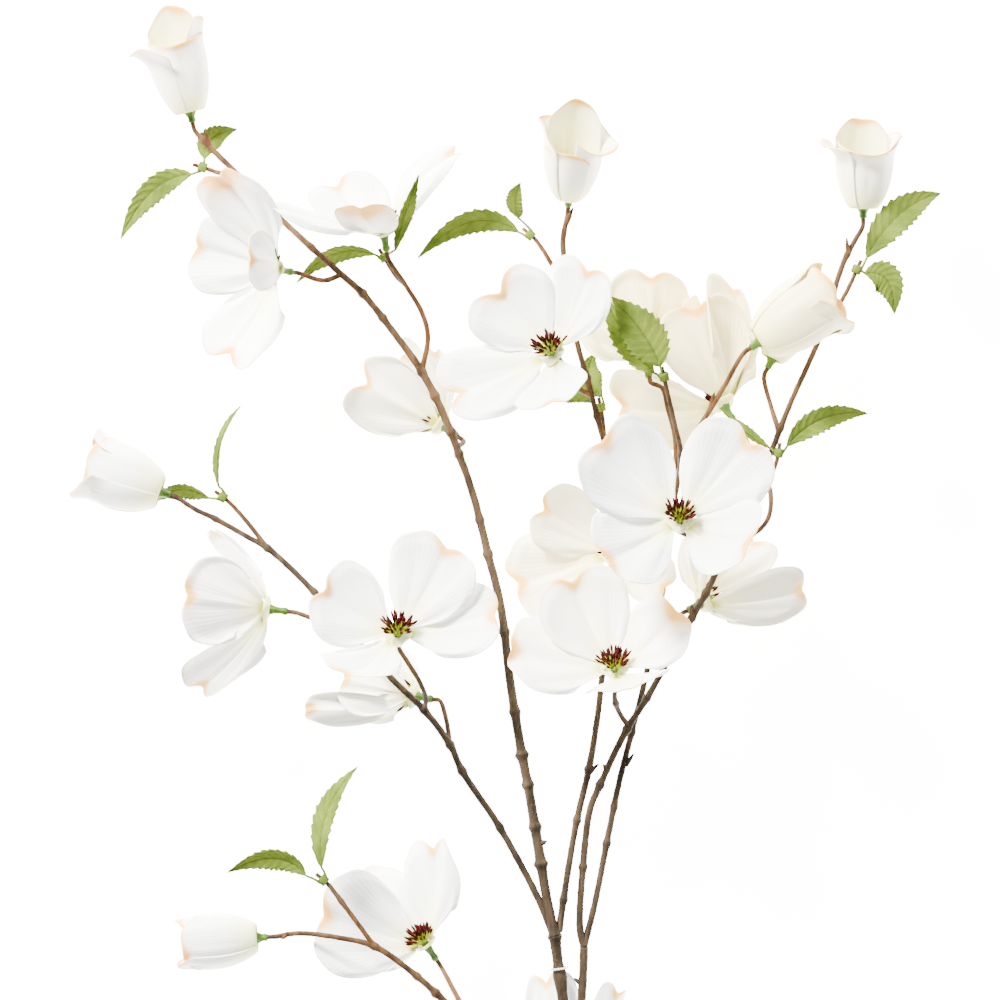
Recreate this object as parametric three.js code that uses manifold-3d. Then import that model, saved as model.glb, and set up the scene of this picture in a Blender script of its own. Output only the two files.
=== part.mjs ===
// A flowering dogwood branch, cut and laid on a surface.
// Millimetres, +Z up. The stems run along +Y from the cut end, and the blooms face +Z and outward.
import * as THREE from 'three';
import { mergeVertices } from 'three/addons/utils/BufferGeometryUtils.js';
import Module from 'manifold-3d';

const wasm = await Module();
wasm.setup();

// ---- driving dimensions (mm) ----
const BLADE = 0.7; // thickness of petals and leaves
const GAP = 0.35; // clearance between touching nodes
const SEAM = 0.05; // smallest step kept where solids are fused

const FAN = 48; // half angle of the fan that a petal opens to, degrees
const SHOULDER = 0.55; // how far a petal's corners fall short of its length
const NOTCH = 0.09; // depth of the notch in a petal's tip, as a share of its length
const PETAL_ROWS = [0, 0.14, 0.58, 1];
const CLAW = 0.2; // share of a petal's length that is its narrow claw, where only its edges and rib count
const PETAL_FOOT = 2.5; // distance of a petal's foot from the bloom's axis
const PETAL_COLUMNS = [-1, -0.7, -0.36, 0, 0.36, 0.7, 1];

const RING_BORE = 2.4; // hole in a corolla's ring
const RING_RADIUS = 4.8;
const RING_BELOW = 1.4;
const RING_ABOVE = 0.8;
const RING_SIDES = 6;
const COLLAR_LENGTH = 10; // bloom's collar, from the ring down to the twig
const HEART_NECK = RING_BORE - GAP - 0.15; // radius of the heart inside the ring
// Radius and height of the heart's outline, from the twig up to the disc that the stamens stand on.
const HEART_PROFILE = [
  [0, -COLLAR_LENGTH], [1.7, -COLLAR_LENGTH], [2.7, -RING_BELOW - GAP], [HEART_NECK, -RING_BELOW - GAP],
  [HEART_NECK, RING_ABOVE + GAP], [2.4, 2], [0, 3],
];
const STAMENS = 4; // one upright in the middle and the rest round it
const STAMEN_LENGTH = 7.5;
const STAMEN_FOOT = 0.4; // radius of a stamen at its foot
const ANTHER = 0.85; // and at its top
const STAMEN_RING = 1.3; // radius that the outer stamens stand on
const STAMEN_ROOT = 1.6; // height of their feet, sunk in the disc
const STAMEN_LEAN = 0.55; // radians

const STAMEN_SIDES = 3;

const BUD_SIDES = 12;
const BUD_FOOT = 0.36; // radius of a bud's foot as a share of its greatest
const BUD_RISE = 0.9; // share of a half wave that a bud's side follows
const BUD_FULLNESS = 0.62; // less than one rounds the bud's foot
const BUD_LOBE = 6; // how narrow a petal's tip is in a bud's rim
const BUD_DIP = 0.09; // dip of the rim between two tips
const BUD_LIP = 0.66; // share of its height where a petal starts to flare
const BUD_ROWS = [0, 0.16, 0.42, 0.7, 0.88, 1];
const BUD_HOLLOW_ROWS = [0.86, 0.6];
const BUD_WALL = 1.2; // thickness of a bud's wall at its rim, before it thickens downward
const BUD_FILL = 5; // and how fast it thickens
const BUD_COLLAR = 5; // length of a bud's collar
const BUD_COLLAR_PROFILE = [
  [0, -BUD_COLLAR], [2, -BUD_COLLAR], [2.4, -BUD_COLLAR / 2], [3, -GAP], [0, -GAP],
];

const PETIOLE = 0.65; // half width of a leaf's petiole
const LEAF_TEETH = 4; // teeth on each side of a leaf
const LEAF_BROADEST = 0.74; // less than one puts a leaf's broadest part nearer its foot
const TOOTH_TIP = 1.08; // width at a tooth's tip and between teeth, as shares of the leaf's
const TOOTH_GAP = 0.9;
const LEAF_FOLD = 0.16; // rise of a leaf's edges beside its midrib, as a share of its half width
const SLEEVE_BORE = 1.7;
const SLEEVE_RADIUS = 2.7; // green sleeve that joins a leaf pair round its twig
const SLEEVE_ROOT = 1.95; // where a petiole starts, inside the sleeve's wall
const SLEEVE_LENGTH = 4;
const CLASP_SIDES = 5;
const TWIG = 1.2; // radius of a twig's end
const TWIG_RUN = 4; // straight end of a twig below a collar
const LEAF_TWIG = 1.1; // radius of a twig inside a leaf pair's sleeve
const LEAF_TWIG_END = 1.05;
const LEAF_TWIG_RUN = 3; // how far it goes on past the sleeve
const NUB_TAPER = 0.35;
const WELD = 1e-4; // points closer than this are one

// ---- placement tables (mm) ----
// Blooms: name, centre, the way the bloom faces, then four petals as
// [tip x, tip y, tip z, width, bow, cup, roll]: bow > 0 for a spoon and < 0 for a petal that arches
// back, cup for edges that lift, and roll in degrees about the petal's own length.
const BLOOMS = [
  ['bloom_01', [139, 364.5, 66], [-0.75, 0.1, 0.65],
    [[109, 411, 82, 0.88, 0.06, 0.1, 0], [96, 377, 50, 0.95, 0.06, 0.1, 0],
      [112, 319, 63, 1.05, 0.06, 0.1, 0], [126.5, 369, 98, 0.95, 0.08, 0.12, 0]]],
  ['bloom_02', [192, 383, 65], [-0.15, 0.85, 0.4],
    [[136, 396, 84, 0.5, 0.04, 0.1, 0], [166, 411, 38, 1, 0.06, 0.1, 0],
      [230, 424, 66, 0.62, -0.1, 0.08, 0], [181, 395, 98, 0.95, 0.08, 0.1, 0]]],
  ['bloom_03', [221, 287.5, 36.5], [-0.75, 0.55, -0.35],
    [[177, 312, 38, 0.9, 0.06, 0.1, 0], [217, 326, 34, 0.9, 0.06, 0.1, 0],
      [199, 325, 10.2, 0.9, 0.06, 0.1, 0], [187, 298, 10.2, 0.75, 0.06, 0.1, 4]]],
  ['bloom_04', [275.5, 322.5, 84.5], [-0.4, 0.35, 0.85],
    [[245, 357, 82, 1.12, 0.08, 0.1, 0], [294, 366, 92, 0.95, 0.08, 0.1, 0],
      [222, 302, 88, 0.85, 0.06, 0.1, 0], [276, 297, 108, 1.25, 0.12, 0.1, 0]]],
  ['bloom_05', [338, 240, 98], [0.05, 0.35, 0.94],
    [[299, 281, 103, 1, 0.1, 0.1, 0], [373, 281, 104, 1, 0.1, 0.1, 0],
      [371.5, 229, 118, 1.25, 0.12, 0.1, 0], [302, 221, 112, 1.15, 0.12, 0.1, 0]]],
  ['bloom_06', [306.5, 166, 80], [-0.05, 0.65, 0.75],
    [[285, 214, 74, 1, 0.08, 0.1, 0], [338, 196, 80, 1, 0.08, 0.1, 0],
      [255, 178, 86, 0.95, 0.06, 0.1, 0], [315, 160, 116, 1.3, 0.1, 0.1, 0]]],
  ['bloom_07', [199.5, 183.5, 84], [0, 0.45, 0.89],
    [[161, 207, 90, 1.1, 0.08, 0.1, 0], [225, 229, 84, 1, 0.08, 0.1, 0],
      [249, 196, 92, 0.85, 0.08, 0.1, 0], [173, 167, 112, 1.1, 0.12, 0.1, 25]]],
  ['bloom_08', [134, 195.5, 50], [-0.95, 0.12, -0.15],
    [[104.5, 235.5, 46, 0.62, 0.06, 0.1, -10], [93.5, 202, 76, 1, 0.06, 0.1, 0],
      [98, 155, 44, 0.95, 0.06, 0.1, 25], [94, 196, 24, 0.9, 0.06, 0.1, 0]]],
  ['bloom_09', [207.5, 151.5, 36], [-0.85, 0.15, -0.45],
    [[152, 145, 34, 0.42, 0.06, 0.1, 0], [170, 160, 42, 0.9, 0.06, 0.1, 0],
      [188, 186, 20, 0.9, 0.06, 0.1, 0], [177, 151, 9, 0.8, 0.06, 0.1, 0]]],
  ['bloom_10', [212.5, 26.5, 33], [-0.5, 0.75, 0.25],
    [[215, 79, 26, 0.95, 0.06, 0.1, 0], [159, 43, 43, 1.05, 0.06, 0.1, -60],
      [176, 57, 9, 0.85, 0.06, 0.1, 0], [180, 14, 20, 0.8, 0.06, 0.1, 0]]],
  ['bloom_11', [322.5, 319, 43.5], [-0.2, 0.7, -0.6],
    [[294, 346, 42, 0.95, 0.06, 0.1, 2], [326, 365, 40, 1.1, 0.06, 0.1, 0],
      [352, 346, 24, 0.9, 0.06, 0.1, 0], [306, 334, 9, 0.9, 0.06, 0.1, 0]]],
  ['bloom_12', [362, 297.5, 48.5], [-0.45, 0.75, -0.5],
    [[346, 349, 58, 0.95, 0.06, 0.1, -4], [366, 360, 28, 1, 0.06, 0.1, 0],
      [376, 329, 7.6, 0.85, 0.06, 0.1, 0], [309, 299.5, 17, 0.85, 0.06, 0, 38]]],
  ['bloom_13', [306, 224, 60], [-0.15, 0.2, 0.95],
    [[269, 248, 66, 0.9, 0.08, 0.1, 0], [256, 208, 66, 0.95, 0.08, 0.1, 0],
      [334, 206, 66, 0.9, 0.08, 0.1, 0], [332, 256, 66, 0.9, 0.08, 0.1, 0]]],
  ['bloom_14', [351.5, 198.5, 39], [0.75, 0.4, -0.5],
    [[346, 232, 34, 0.9, 0.06, 0.1, 4], [382, 230, 26, 0.9, 0.06, 0.1, 0],
      [403.5, 205, 34, 0.75, 0.06, 0.1, 0], [374, 196, 8, 0.9, 0.06, 0.1, 0]]],
  ['bloom_15', [288, -38, 35], [0, 0.8, -0.3],
    [[273, 12, 32, 0.8, 0.06, 0.1, 0], [309, 5, 30, 0.8, 0.06, 0.1, 0],
      [325, -25, 30, 0.9, 0.06, 0.1, -4], [268, -18, 10, 0.9, 0.06, 0.1, 0]]],
];

// Buds: name, foot, top, greatest radius, then each petal's tip as
// [turn in degrees round the bud, flare as a share of the radius, height as a share of the bud's].
const BUDS = [
  ['bud_01', [95, 444, 50], [82, 497, 54], 15,
    [[210, 0.55, 0.72], [90, 0, 1], [15, 0.25, 0.87], [295, 0.12, 0.65]]],
  ['bud_02', [284.5, 401.5, 52], [288, 444, 74], 14.5,
    [[170, 0.4, 0.9], [80, 0.15, 1.02], [335, 0.5, 0.72], [235, 0.05, 0.64]]],
  ['bud_03', [431.5, 396, 52], [432, 441, 58], 14.5,
    [[180, 0.6, 0.82], [95, 0.1, 1], [10, 0.55, 0.9], [275, 0.35, 0.68]]],
  ['bud_04', [80, 254, 46], [38, 269, 46], 16,
    [[85, 0.4, 1], [175, 0, 0.92], [265, 0.35, 1], [5, 0.1, 0.9]]],
  ['bud_05', [128.5, 31, 49], [86, 28, 49], 14,
    [[95, 0.05, 0.96], [180, 0, 0.9], [270, 0.15, 1], [0, 0.05, 0.9]]],
  ['bud_06', [378, 328, 82], [418, 356, 84], 17,
    [[10, 0.2, 0.95], [100, 0.2, 1], [190, 0.2, 0.97], [280, 0.48, 0.96]]],
  ['bud_07', [387, 321, 33], [405, 357, 30], 11,
    [[0, 0.1, 1], [90, 0.3, 0.95], [180, 0.3, 1], [270, 0.2, 0.95]]],
];

// Leaf pairs: name, sleeve centre, the twig's direction there, then two leaves as
// [foot, bend, tip, width, the way the blade faces].
const LEAF_PAIRS = [
  ['leaves_01', [101, 416.5, 47], [-0.95, 0.3, 0],
    [[102, 421, 46], [101, 434, 42], [118, 436, 40], 12, [0.3, 0.2, 1]],
    [[95.5, 413, 47], [74, 412, 48], [60, 381, 44], 13, [0.2, 0, 1]]],
  ['leaves_02', [192, 371.5, 48], [-0.5, 0.85, 0],
    [[198, 375, 56], [202, 388, 88], [210, 410, 88], 10, [0.6, -0.4, 0.6]],
    [[187, 373, 48], [166, 380, 46], [148, 359, 40], 12, [0.2, -0.7, 0.6]]],
  ['leaves_03', [265, 382.5, 52], [-0.75, 0.65, 0],
    [[259, 384, 52], [236, 400, 54], [209, 371, 50], 12, [0.1, -0.2, 1]],
    [[259, 391, 53], [256, 398, 60], [260, 407, 74], 11, [-0.6, -0.6, 0.5]]],
  ['leaves_04', [428, 365, 56], [0.4, 0.9, 0],
    [[433, 371, 57], [447, 398, 58], [470, 403, 54], 17, [0, 0.1, 1]],
    [[432, 363, 56], [447, 366, 56], [447, 343, 52], 16, [0, 0, 1]]],
  ['leaves_05', [111, 251.5, 44], [-0.8, 0.6, 0],
    [[109, 257, 44], [105, 280, 46], [120, 297, 46], 10, [-0.9, 0.3, 0.4]],
    [[104, 251, 42], [88, 260, 37], [75, 249, 32], 13, [0.1, -0.8, 0.6]]],
  ['leaves_06', [162, 60.5, 58], [-0.75, 0.65, 0],
    [[161, 67, 58], [157, 96, 60], [179, 117, 60], 13, [-0.5, 0.4, 0.8]],
    [[153, 63, 58], [140, 79, 57], [114, 64, 52], 13, [0, -0.5, 0.8]]],
  ['leaves_07', [331, 311, 80], [-0.2, 0.95, 0.3],
    [[329, 316, 83], [323, 332, 88], [305, 350, 88], 22, [0.1, 0, 1]],
    [[326, 313, 80], [312, 328, 76], [301, 352, 72], 16, [-0.6, 0, 0.8]]],
  ['leaves_08', [388.5, 273.5, 62], [0.15, 0.95, 0.1],
    [[393, 277, 62], [408, 296, 64], [433, 293, 60], 13, [0, -0.3, 0.9]],
    [[384, 276, 62], [373, 282, 64], [359, 296, 64], 9, [0.6, 0.6, 0.5]]],
  ['leaves_09', [300.5, 296.5, 42], [-0.2, 0.95, 0],
    [[296, 299, 42], [286, 312, 41], [272, 301, 38], 15, [0, -0.2, 1]],
    [[301, 302, 41], [290, 312, 36], [298, 324, 34], 13, [0.3, -0.2, 1]]],
];

// Wood: each stem as its centre line, [x, y, z, radius].
const TRUNK = [[292, -330, 3.6, 3.6], [290, -250, 14, 3.5], [288, -160, 34, 3.4], [287, -75, 48, 3.4],
  [286.5, -48, 50, 3.3]];
const LEFT_STEM = [[286.5, -48, 50, 2.9], [283, -10, 50, 2.6], [281, 4, 50, 2.6], [280, 12, 50, 3.5],
  [279, 19, 50, 2.5], [277.5, 32, 50, 2.8]];
const RIGHT_STEM = [[286.5, -48, 50, 2.6], [290, -12, 50, 2.2], [291.5, 12, 50, 2.1], [292, 26.5, 50, 2.1]];
const TALL = [[277.5, 32, 50, 2.6], [273.5, 50, 50, 2.4], [270.5, 68, 50, 2.5], [264, 107.5, 50, 2.3],
  [261, 122.5, 50, 2.4], [255, 159.5, 50, 2.2], [250.5, 196, 50, 2.1], [244, 223, 51, 2],
  [236, 254.5, 52, 1.9], [229.5, 273, 53, 1.9], [223, 290, 54, 1.9], [211, 314, 55, 1.9],
  [200, 329.5, 55, 1.8], [181.5, 353, 55, 1.7], [171, 362.5, 55, 1.7], [143.5, 387.5, 54, 1.5],
  [119, 412.5, 53, 1.5], [104, 427.5, 51.5, 1.4]];
const LEFT = [[278, 28, 49, 1.8], [270.5, 47.5, 49, 1.8], [250, 86, 49, 1.7], [231, 114.5, 49, 1.7],
  [225, 127.5, 49, 1.7], [212, 145, 49, 1.7], [197.5, 159, 49, 1.6], [175, 183.5, 49, 1.5],
  [157, 204, 48, 1.5], [133.5, 226, 47, 1.5], [124.5, 231, 46, 1.4], [107.5, 240.5, 45, 1.3],
  [97, 245.5, 45.5, 1.3]];
const MIDDLE = [[279.5, 34, 49, 1.8], [281.5, 48, 47, 1.7], [288.5, 89.5, 45, 1.6], [294.5, 115, 45, 1.7],
  [299, 142.5, 44, 1.6], [302, 170, 42, 1.6], [305, 205, 40, 1.5], [307.5, 247.5, 42, 1.5],
  [303, 275, 46, 1.5], [298.5, 292, 50, 1.4], [293.5, 311, 52, 1.4], [288.5, 329, 52, 1.4],
  [285, 355, 51, 1.4], [281.5, 378, 49, 1.4]];
const RIGHT = [[292, 26.5, 50, 2], [290, 36, 50, 1.8], [291.5, 66.5, 50, 1.7], [295, 95, 50, 1.7],
  [300, 107.5, 50, 1.7], [313.5, 135.5, 50, 1.7], [323.5, 151, 50, 1.6], [343, 186, 50, 1.6],
  [353, 203.5, 50, 1.6], [361.5, 221, 50, 1.5], [377.5, 255.5, 52, 1.5], [386, 275.5, 53, 1.5],
  [394.5, 297, 53, 1.4], [411, 334.5, 53, 1.4], [421, 367, 52, 1.4], [427, 379, 51, 1.3]];
const INNER_RIGHT = [
  [292, 26.5, 50, 1.8], [297.5, 48, 46, 1.6], [303.5, 78, 44, 1.6], [309.5, 107.5, 44, 1.6],
  [316, 133.5, 44, 1.5], [321.5, 155, 44, 1.5], [330, 195, 44, 1.5], [337, 248, 46, 1.4],
  [340, 272, 60, 1.3], [336, 290, 73, 1.2],
];
const LOW = [[287, -75, 48, 2.2], [262, -42, 50, 2], [240, -17, 52, 1.8], [220.5, 1.5, 54, 1.7],
  [208.5, 12.5, 56, 1.6], [187.5, 27.5, 58, 1.5], [171, 31.5, 57, 1.3], [150, 33.5, 52, 1.3]];
// Stems that end in a bloom's or a bud's collar: the last point comes from what they carry.
const CARRIERS = [
  ['bloom_01', [[171, 362.5, 55, 1.4], [162, 359.5, 57, 1.3]]],
  ['bloom_02', [[211, 314, 55, 1.4], [214, 331.5, 56, 1.3], [211, 343.5, 57, 1.3], [203, 357, 59, 1.2]]],
  ['bloom_03', [[228, 276, 52.5, 1.4]]],
  ['bloom_04', [[295.5, 302, 51, 1.3], [286, 308, 60, 1.3]]],
  ['bloom_05', [[382, 263, 52, 1.3], [385, 253, 56, 1.2], [383, 240, 62, 1.2], [372, 231, 70, 1.2],
    [354, 229, 80, 1.2]]],
  ['bloom_06', [[314.5, 136.5, 50, 1.3], [309.5, 144, 56, 1.3], [307, 152, 66, 1.2]]],
  ['bloom_07', [[212, 145, 49, 1.3], [213, 151, 58, 1.3], [210, 160, 68, 1.2]]],
  ['bloom_08', [[175, 183.5, 49, 1.4], [161, 189, 50, 1.3]]],
  ['bloom_09', [[225, 127.5, 49, 1.3], [223, 140, 44, 1.2]]],
  ['bloom_10', [[240, -17, 52, 1.5], [229, 0, 42, 1.4]]],
  ['bloom_11', [[337, 250, 46, 1.3], [337.5, 280, 50, 1.2], [333.7, 296, 52, 1.2], [331, 306, 52, 1.2]]],
  ['bloom_12', [[379, 259, 52, 1.3], [377, 272, 52, 1.2]]],
  ['bloom_13', [[302, 170, 42, 1.3], [304, 200, 46, 1.2]]],
  ['bloom_14', [[332, 166, 50, 1.3], [340, 186, 46, 1.3]]],
  ['bloom_15', [[287, -75, 48, 1.5], [288, -62, 44, 1.4]]],
  ['bud_06', [[340, 272, 60, 1.3], [354, 294.5, 72, 1.3], [360.5, 305.5, 78, 1.2]]],
  ['bud_07', [[389.5, 284, 53, 1.3], [385.5, 298, 44, 1.2]]],
];
// Twigs that run on through a leaf pair's sleeve: the last points come from the sleeve.
const LEAF_TWIGS = [
  ['leaves_01', [[119, 412.5, 53, 1.2], [110, 413.5, 50, 1.2]]],
  ['leaves_02', [[203, 357, 58, 1.2], [198, 362, 51, 1.2]]],
  ['leaves_03', [[286, 348, 51.5, 1.2], [274.5, 370, 52, 1.2]]],
  ['leaves_04', [[411, 334.5, 53, 1.2], [419, 347, 55, 1.2], [424.5, 357, 56, 1.1]]],
  ['leaves_05', [[133.5, 226, 47, 1.3], [122, 240.5, 44, 1.2]]],
  ['leaves_06', [[187.5, 27.5, 58, 1.3], [171, 50, 60, 1.2]]],
  ['leaves_08', [[381, 263.5, 52.4, 1.2], [385.5, 264, 58, 1.1]]],
  ['leaves_09', [[303, 275, 46, 1.2], [302, 286, 43, 1.1]]],
];
// Nubs and bud scales on the wood: [foot, tip, radius].
const NUBS = [
  [[269, 78, 50], [273.5, 79.5, 52], 1.6], [[231, 114.5, 49], [229.5, 117, 51], 1.5],
  [[294, 113, 45], [299.5, 118, 47], 1.2], [[283, 388, 48.5], [286.5, 396, 52], 1.4],
  [[105, 426, 51.5], [103, 434, 54], 1.4], [[304, 114, 50], [301.5, 118, 52], 1.4],
  [[346, 191, 50], [345.5, 198, 52], 1.4], [[424, 373, 52], [423, 381, 54], 1.2],
  [[313, 117, 44], [317, 123, 46], 1.3], [[354, 295, 72.5], [356, 303, 76], 1.2],
  [[144, 33.5, 50.5], [141, 30.5, 52], 1.2], [[290.6, 8, 50], [287, 11, 51], 1.3],
];
const TAG_LOOP = { centre: [279.6, 15.8, 50], radius: 4.1, cord: 0.45, sides: 12 };

// ---- materials ----
const matte = (color, roughness) => new THREE.MeshStandardMaterial({ color, roughness, metalness: 0 });
const PETAL_WHITE = () => matte(0xf4f2ec, 0.6);
const HEART_GREEN = () => matte(0x9db33c, 0.55);
const COLLAR_GREEN = () => matte(0x6fa04a, 0.5);
const LEAF_GREEN = () => matte(0x8fa648, 0.6);
const BARK_BROWN = () => matte(0x7a5a42, 0.55);
const THREAD_WHITE = () => matte(0xf2f2f0, 0.8);

// ---- geometry helpers ----
const UP = new THREE.Vector3(0, 0, 1);
const vec = (a) => new THREE.Vector3(a[0], a[1], a[2]);
const radians = THREE.MathUtils.degToRad;

// A closed solid from points and triangles.
function geometryOf(points, faces) {
  const geometry = new THREE.BufferGeometry();
  const position = points.flatMap((p) => p.toArray());
  geometry.setAttribute('position', new THREE.Float32BufferAttribute(position, 3));
  geometry.setIndex(faces.flat());
  return geometry;
}

// A geometry's triangles without those that merging its vertices has flattened.
function fullTriangles(index) {
  const kept = [];
  for (let i = 0; i < index.length; i += 3) {
    const [a, b, c] = [index[i], index[i + 1], index[i + 2]];
    if (a !== b && b !== c && c !== a) kept.push(a, b, c);
  }
  return new Uint32Array(kept);
}

function toSolid(source) {
  let geometry = source.clone();
  geometry.deleteAttribute('normal');
  geometry.deleteAttribute('uv');
  geometry = mergeVertices(geometry, WELD);
  const vertProperties = new Float32Array(geometry.attributes.position.array);
  const triVerts = fullTriangles(geometry.index.array);
  return new wasm.Manifold(new wasm.Mesh({ numProp: 3, vertProperties, triVerts }));
}

// The union of solids as one body, without slivers along its seams or pockets that fusing seals.
function fuse(solids) {
  const whole = solids.reduce((sum, next) => sum.add(next)).asOriginal().simplify(SEAM);
  const bodies = whole.decompose();
  bodies.sort((a, b) => b.volume() - a.volume());
  return bodies[0];
}

function toMesh(name, solid, material) {
  const { numProp, vertProperties, triVerts } = solid.getMesh();
  const geometry = new THREE.BufferGeometry();
  const position = [];
  for (let i = 0; i < vertProperties.length; i += numProp) {
    position.push(vertProperties[i], vertProperties[i + 1], vertProperties[i + 2]);
  }
  geometry.setAttribute('position', new THREE.Float32BufferAttribute(position, 3));
  geometry.setIndex(Array.from(triVerts));
  geometry.computeVertexNormals();
  material.flatShading = true;
  const mesh = new THREE.Mesh(geometry, material);
  mesh.name = name;
  return mesh;
}

// A blade: a grid of points given thickness along its normals, split alike on both faces.
// Its first row is one point, and so is its last with pointedEnd of 1. There the row beside gives the normal.
function blade(grid, pointedEnd = 0) {
  const rows = grid.length;
  const columns = grid[0].length;
  const at = (i, j) => grid[Math.min(Math.max(i, 0), rows - 1)][Math.min(Math.max(j, 0), columns - 1)];
  const top = [];
  const bottom = [];
  for (let i = 0; i < rows; i += 1) {
    for (let j = 0; j < columns; j += 1) {
      const along = at(i + 1, j).clone().sub(at(i - 1, j));
      const open = Math.min(Math.max(i, 1), rows - 1 - pointedEnd);
      const across = at(open, j + 1).clone().sub(at(open, j - 1));
      const normal = across.cross(along).normalize().multiplyScalar(BLADE / 2);
      top.push(at(i, j).clone().add(normal));
      bottom.push(at(i, j).clone().sub(normal));
    }
  }
  const half = rows * columns;
  const faces = [];
  for (let i = 0; i < rows - 1; i += 1) {
    for (let j = 0; j < columns - 1; j += 1) {
      const a = i * columns + j;
      const b = a + 1;
      const c = a + columns;
      const d = c + 1;
      const quad = j < (columns - 1) / 2 ? [[a, b, d], [a, d, c]] : [[a, b, c], [b, d, c]];
      quad.forEach(([p, q, r]) => faces.push([p, q, r], [half + p, half + r, half + q]));
    }
  }
  const rim = [];
  for (let j = 0; j < columns; j += 1) rim.push(j);
  for (let i = 1; i < rows; i += 1) rim.push(i * columns + columns - 1);
  for (let j = columns - 2; j >= 0; j -= 1) rim.push((rows - 1) * columns + j);
  for (let i = rows - 2; i > 0; i -= 1) rim.push(i * columns);
  rim.forEach((a, k) => {
    const b = rim[(k + 1) % rim.length];
    faces.push([a, half + a, half + b], [a, half + b, b]);
  });
  return toSolid(geometryOf([...top, ...bottom], faces));
}

// A tube along a smooth line through [x, y, z, radius] points, closed by flat ends.
function stem(points, sides, stepsPerSpan = 2) {
  const line = new THREE.CatmullRomCurve3(points.map(vec), false, 'centripetal');
  const spans = points.length - 1;
  const steps = spans * stepsPerSpan;
  const rings = [];
  let side = null;
  for (let i = 0; i <= steps; i += 1) {
    const t = i / steps;
    const centre = line.getPoint(t);
    const tangent = line.getTangent(t);
    if (side === null) side = UP.clone().cross(tangent).normalize();
    side = side.clone().addScaledVector(tangent, -side.dot(tangent)).normalize();
    const up = tangent.clone().cross(side);
    const span = Math.min(Math.floor(t * spans), spans - 1);
    const share = t * spans - span;
    const radius = THREE.MathUtils.lerp(points[span][3], points[span + 1][3], share);
    const ring = [];
    for (let k = 0; k < sides; k += 1) {
      const angle = (2 * Math.PI * k) / sides;
      ring.push(centre.clone().addScaledVector(side, radius * Math.cos(angle))
        .addScaledVector(up, radius * Math.sin(angle)));
    }
    rings.push(ring);
  }
  return toSolid(closedRings(rings));
}

// Rings of points joined into one closed skin, with a flat cap at each end.
function closedRings(rings) {
  const sides = rings[0].length;
  const points = rings.flat();
  const faces = [];
  for (let i = 0; i < rings.length - 1; i += 1) {
    for (let k = 0; k < sides; k += 1) {
      const a = i * sides + k;
      const b = i * sides + ((k + 1) % sides);
      faces.push([a, b, b + sides], [a, b + sides, a + sides]);
    }
  }
  const last = (rings.length - 1) * sides;
  for (let k = 1; k < sides - 1; k += 1) {
    faces.push([0, k + 1, k], [last, last + k, last + k + 1]);
  }
  return geometryOf(points, faces);
}

// Turns and moves a geometry built along +Z so that it runs along axis from place.
function along(geometry, place, axis) {
  const turn = new THREE.Quaternion().setFromUnitVectors(UP, axis.clone().normalize());
  return geometry.clone().applyQuaternion(turn).translate(place.x, place.y, place.z);
}

function lathe(profile, sides) {
  const points = profile.map(([r, z]) => new THREE.Vector2(r, z));
  return new THREE.LatheGeometry(points, sides).rotateX(Math.PI / 2);
}

// A straight prism or cone frustum on the Z axis, from low to high.
function prism(lowRadius, highRadius, low, high, sides) {
  const ring = (radius, z) => Array.from({ length: sides }, (_, k) => {
    const angle = (2 * Math.PI * k) / sides;
    return new THREE.Vector3(radius * Math.cos(angle), radius * Math.sin(angle), z);
  });
  return closedRings([ring(lowRadius, low), ring(highRadius, high)]);
}

// A round sleeve on the Z axis with a hole through it.
function sleeve(bore, radius, low, high, sides) {
  return lathe([[bore, low], [radius, low], [radius, high], [bore, high], [bore, low]], sides);
}

// ---- blooms ----
// The fan that a petal is cut from, as reach from its foot at u, from -1 to 1 across it.
function petalReach(u) {
  return (1 - SHOULDER * Math.abs(u) ** 3) * (1 - NOTCH * Math.exp(-((u / 0.16) ** 2)));
}

function petal(centre, axis, [x, y, z, width, bow, cup, roll]) {
  const tip = new THREE.Vector3(x, y, z);
  const outward = tip.clone().sub(centre);
  outward.addScaledVector(axis, -outward.dot(axis)).normalize();
  const foot = centre.clone().addScaledVector(outward, PETAL_FOOT);
  const lengthwise = tip.clone().sub(foot);
  const length = lengthwise.length() / (1 - NOTCH / 2);
  lengthwise.normalize();
  const normal = axis.clone().addScaledVector(lengthwise, -axis.dot(lengthwise)).normalize()
    .applyAxisAngle(lengthwise, radians(roll));
  const sideways = lengthwise.clone().cross(normal);
  const grid = PETAL_ROWS.map((v) => PETAL_COLUMNS.map((column) => {
    const u = v < CLAW ? Math.sign(column) : column;
    const reach = length * v * petalReach(u);
    const run = reach * Math.cos(radians(FAN * u));
    const off = reach * Math.sin(radians(FAN * u)) * width;
    const q = run / length;
    const w = off / (0.5 * length);
    const lift = length * (-4 * bow * q * (1 - q) + cup * w * w * (0.3 + 0.7 * q));
    return foot.clone().addScaledVector(lengthwise, run).addScaledVector(sideways, off)
      .addScaledVector(normal, lift);
  }));
  return blade(grid);
}

function corolla([name, place, facing, petals]) {
  const centre = vec(place);
  const axis = vec(facing).normalize();
  const ring = along(sleeve(RING_BORE, RING_RADIUS, -RING_BELOW, RING_ABOVE, RING_SIDES), centre, axis);
  const blades = petals.map((row) => petal(centre, axis, row));
  return toMesh(name, fuse([toSolid(ring), ...blades]), PETAL_WHITE());
}

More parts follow.
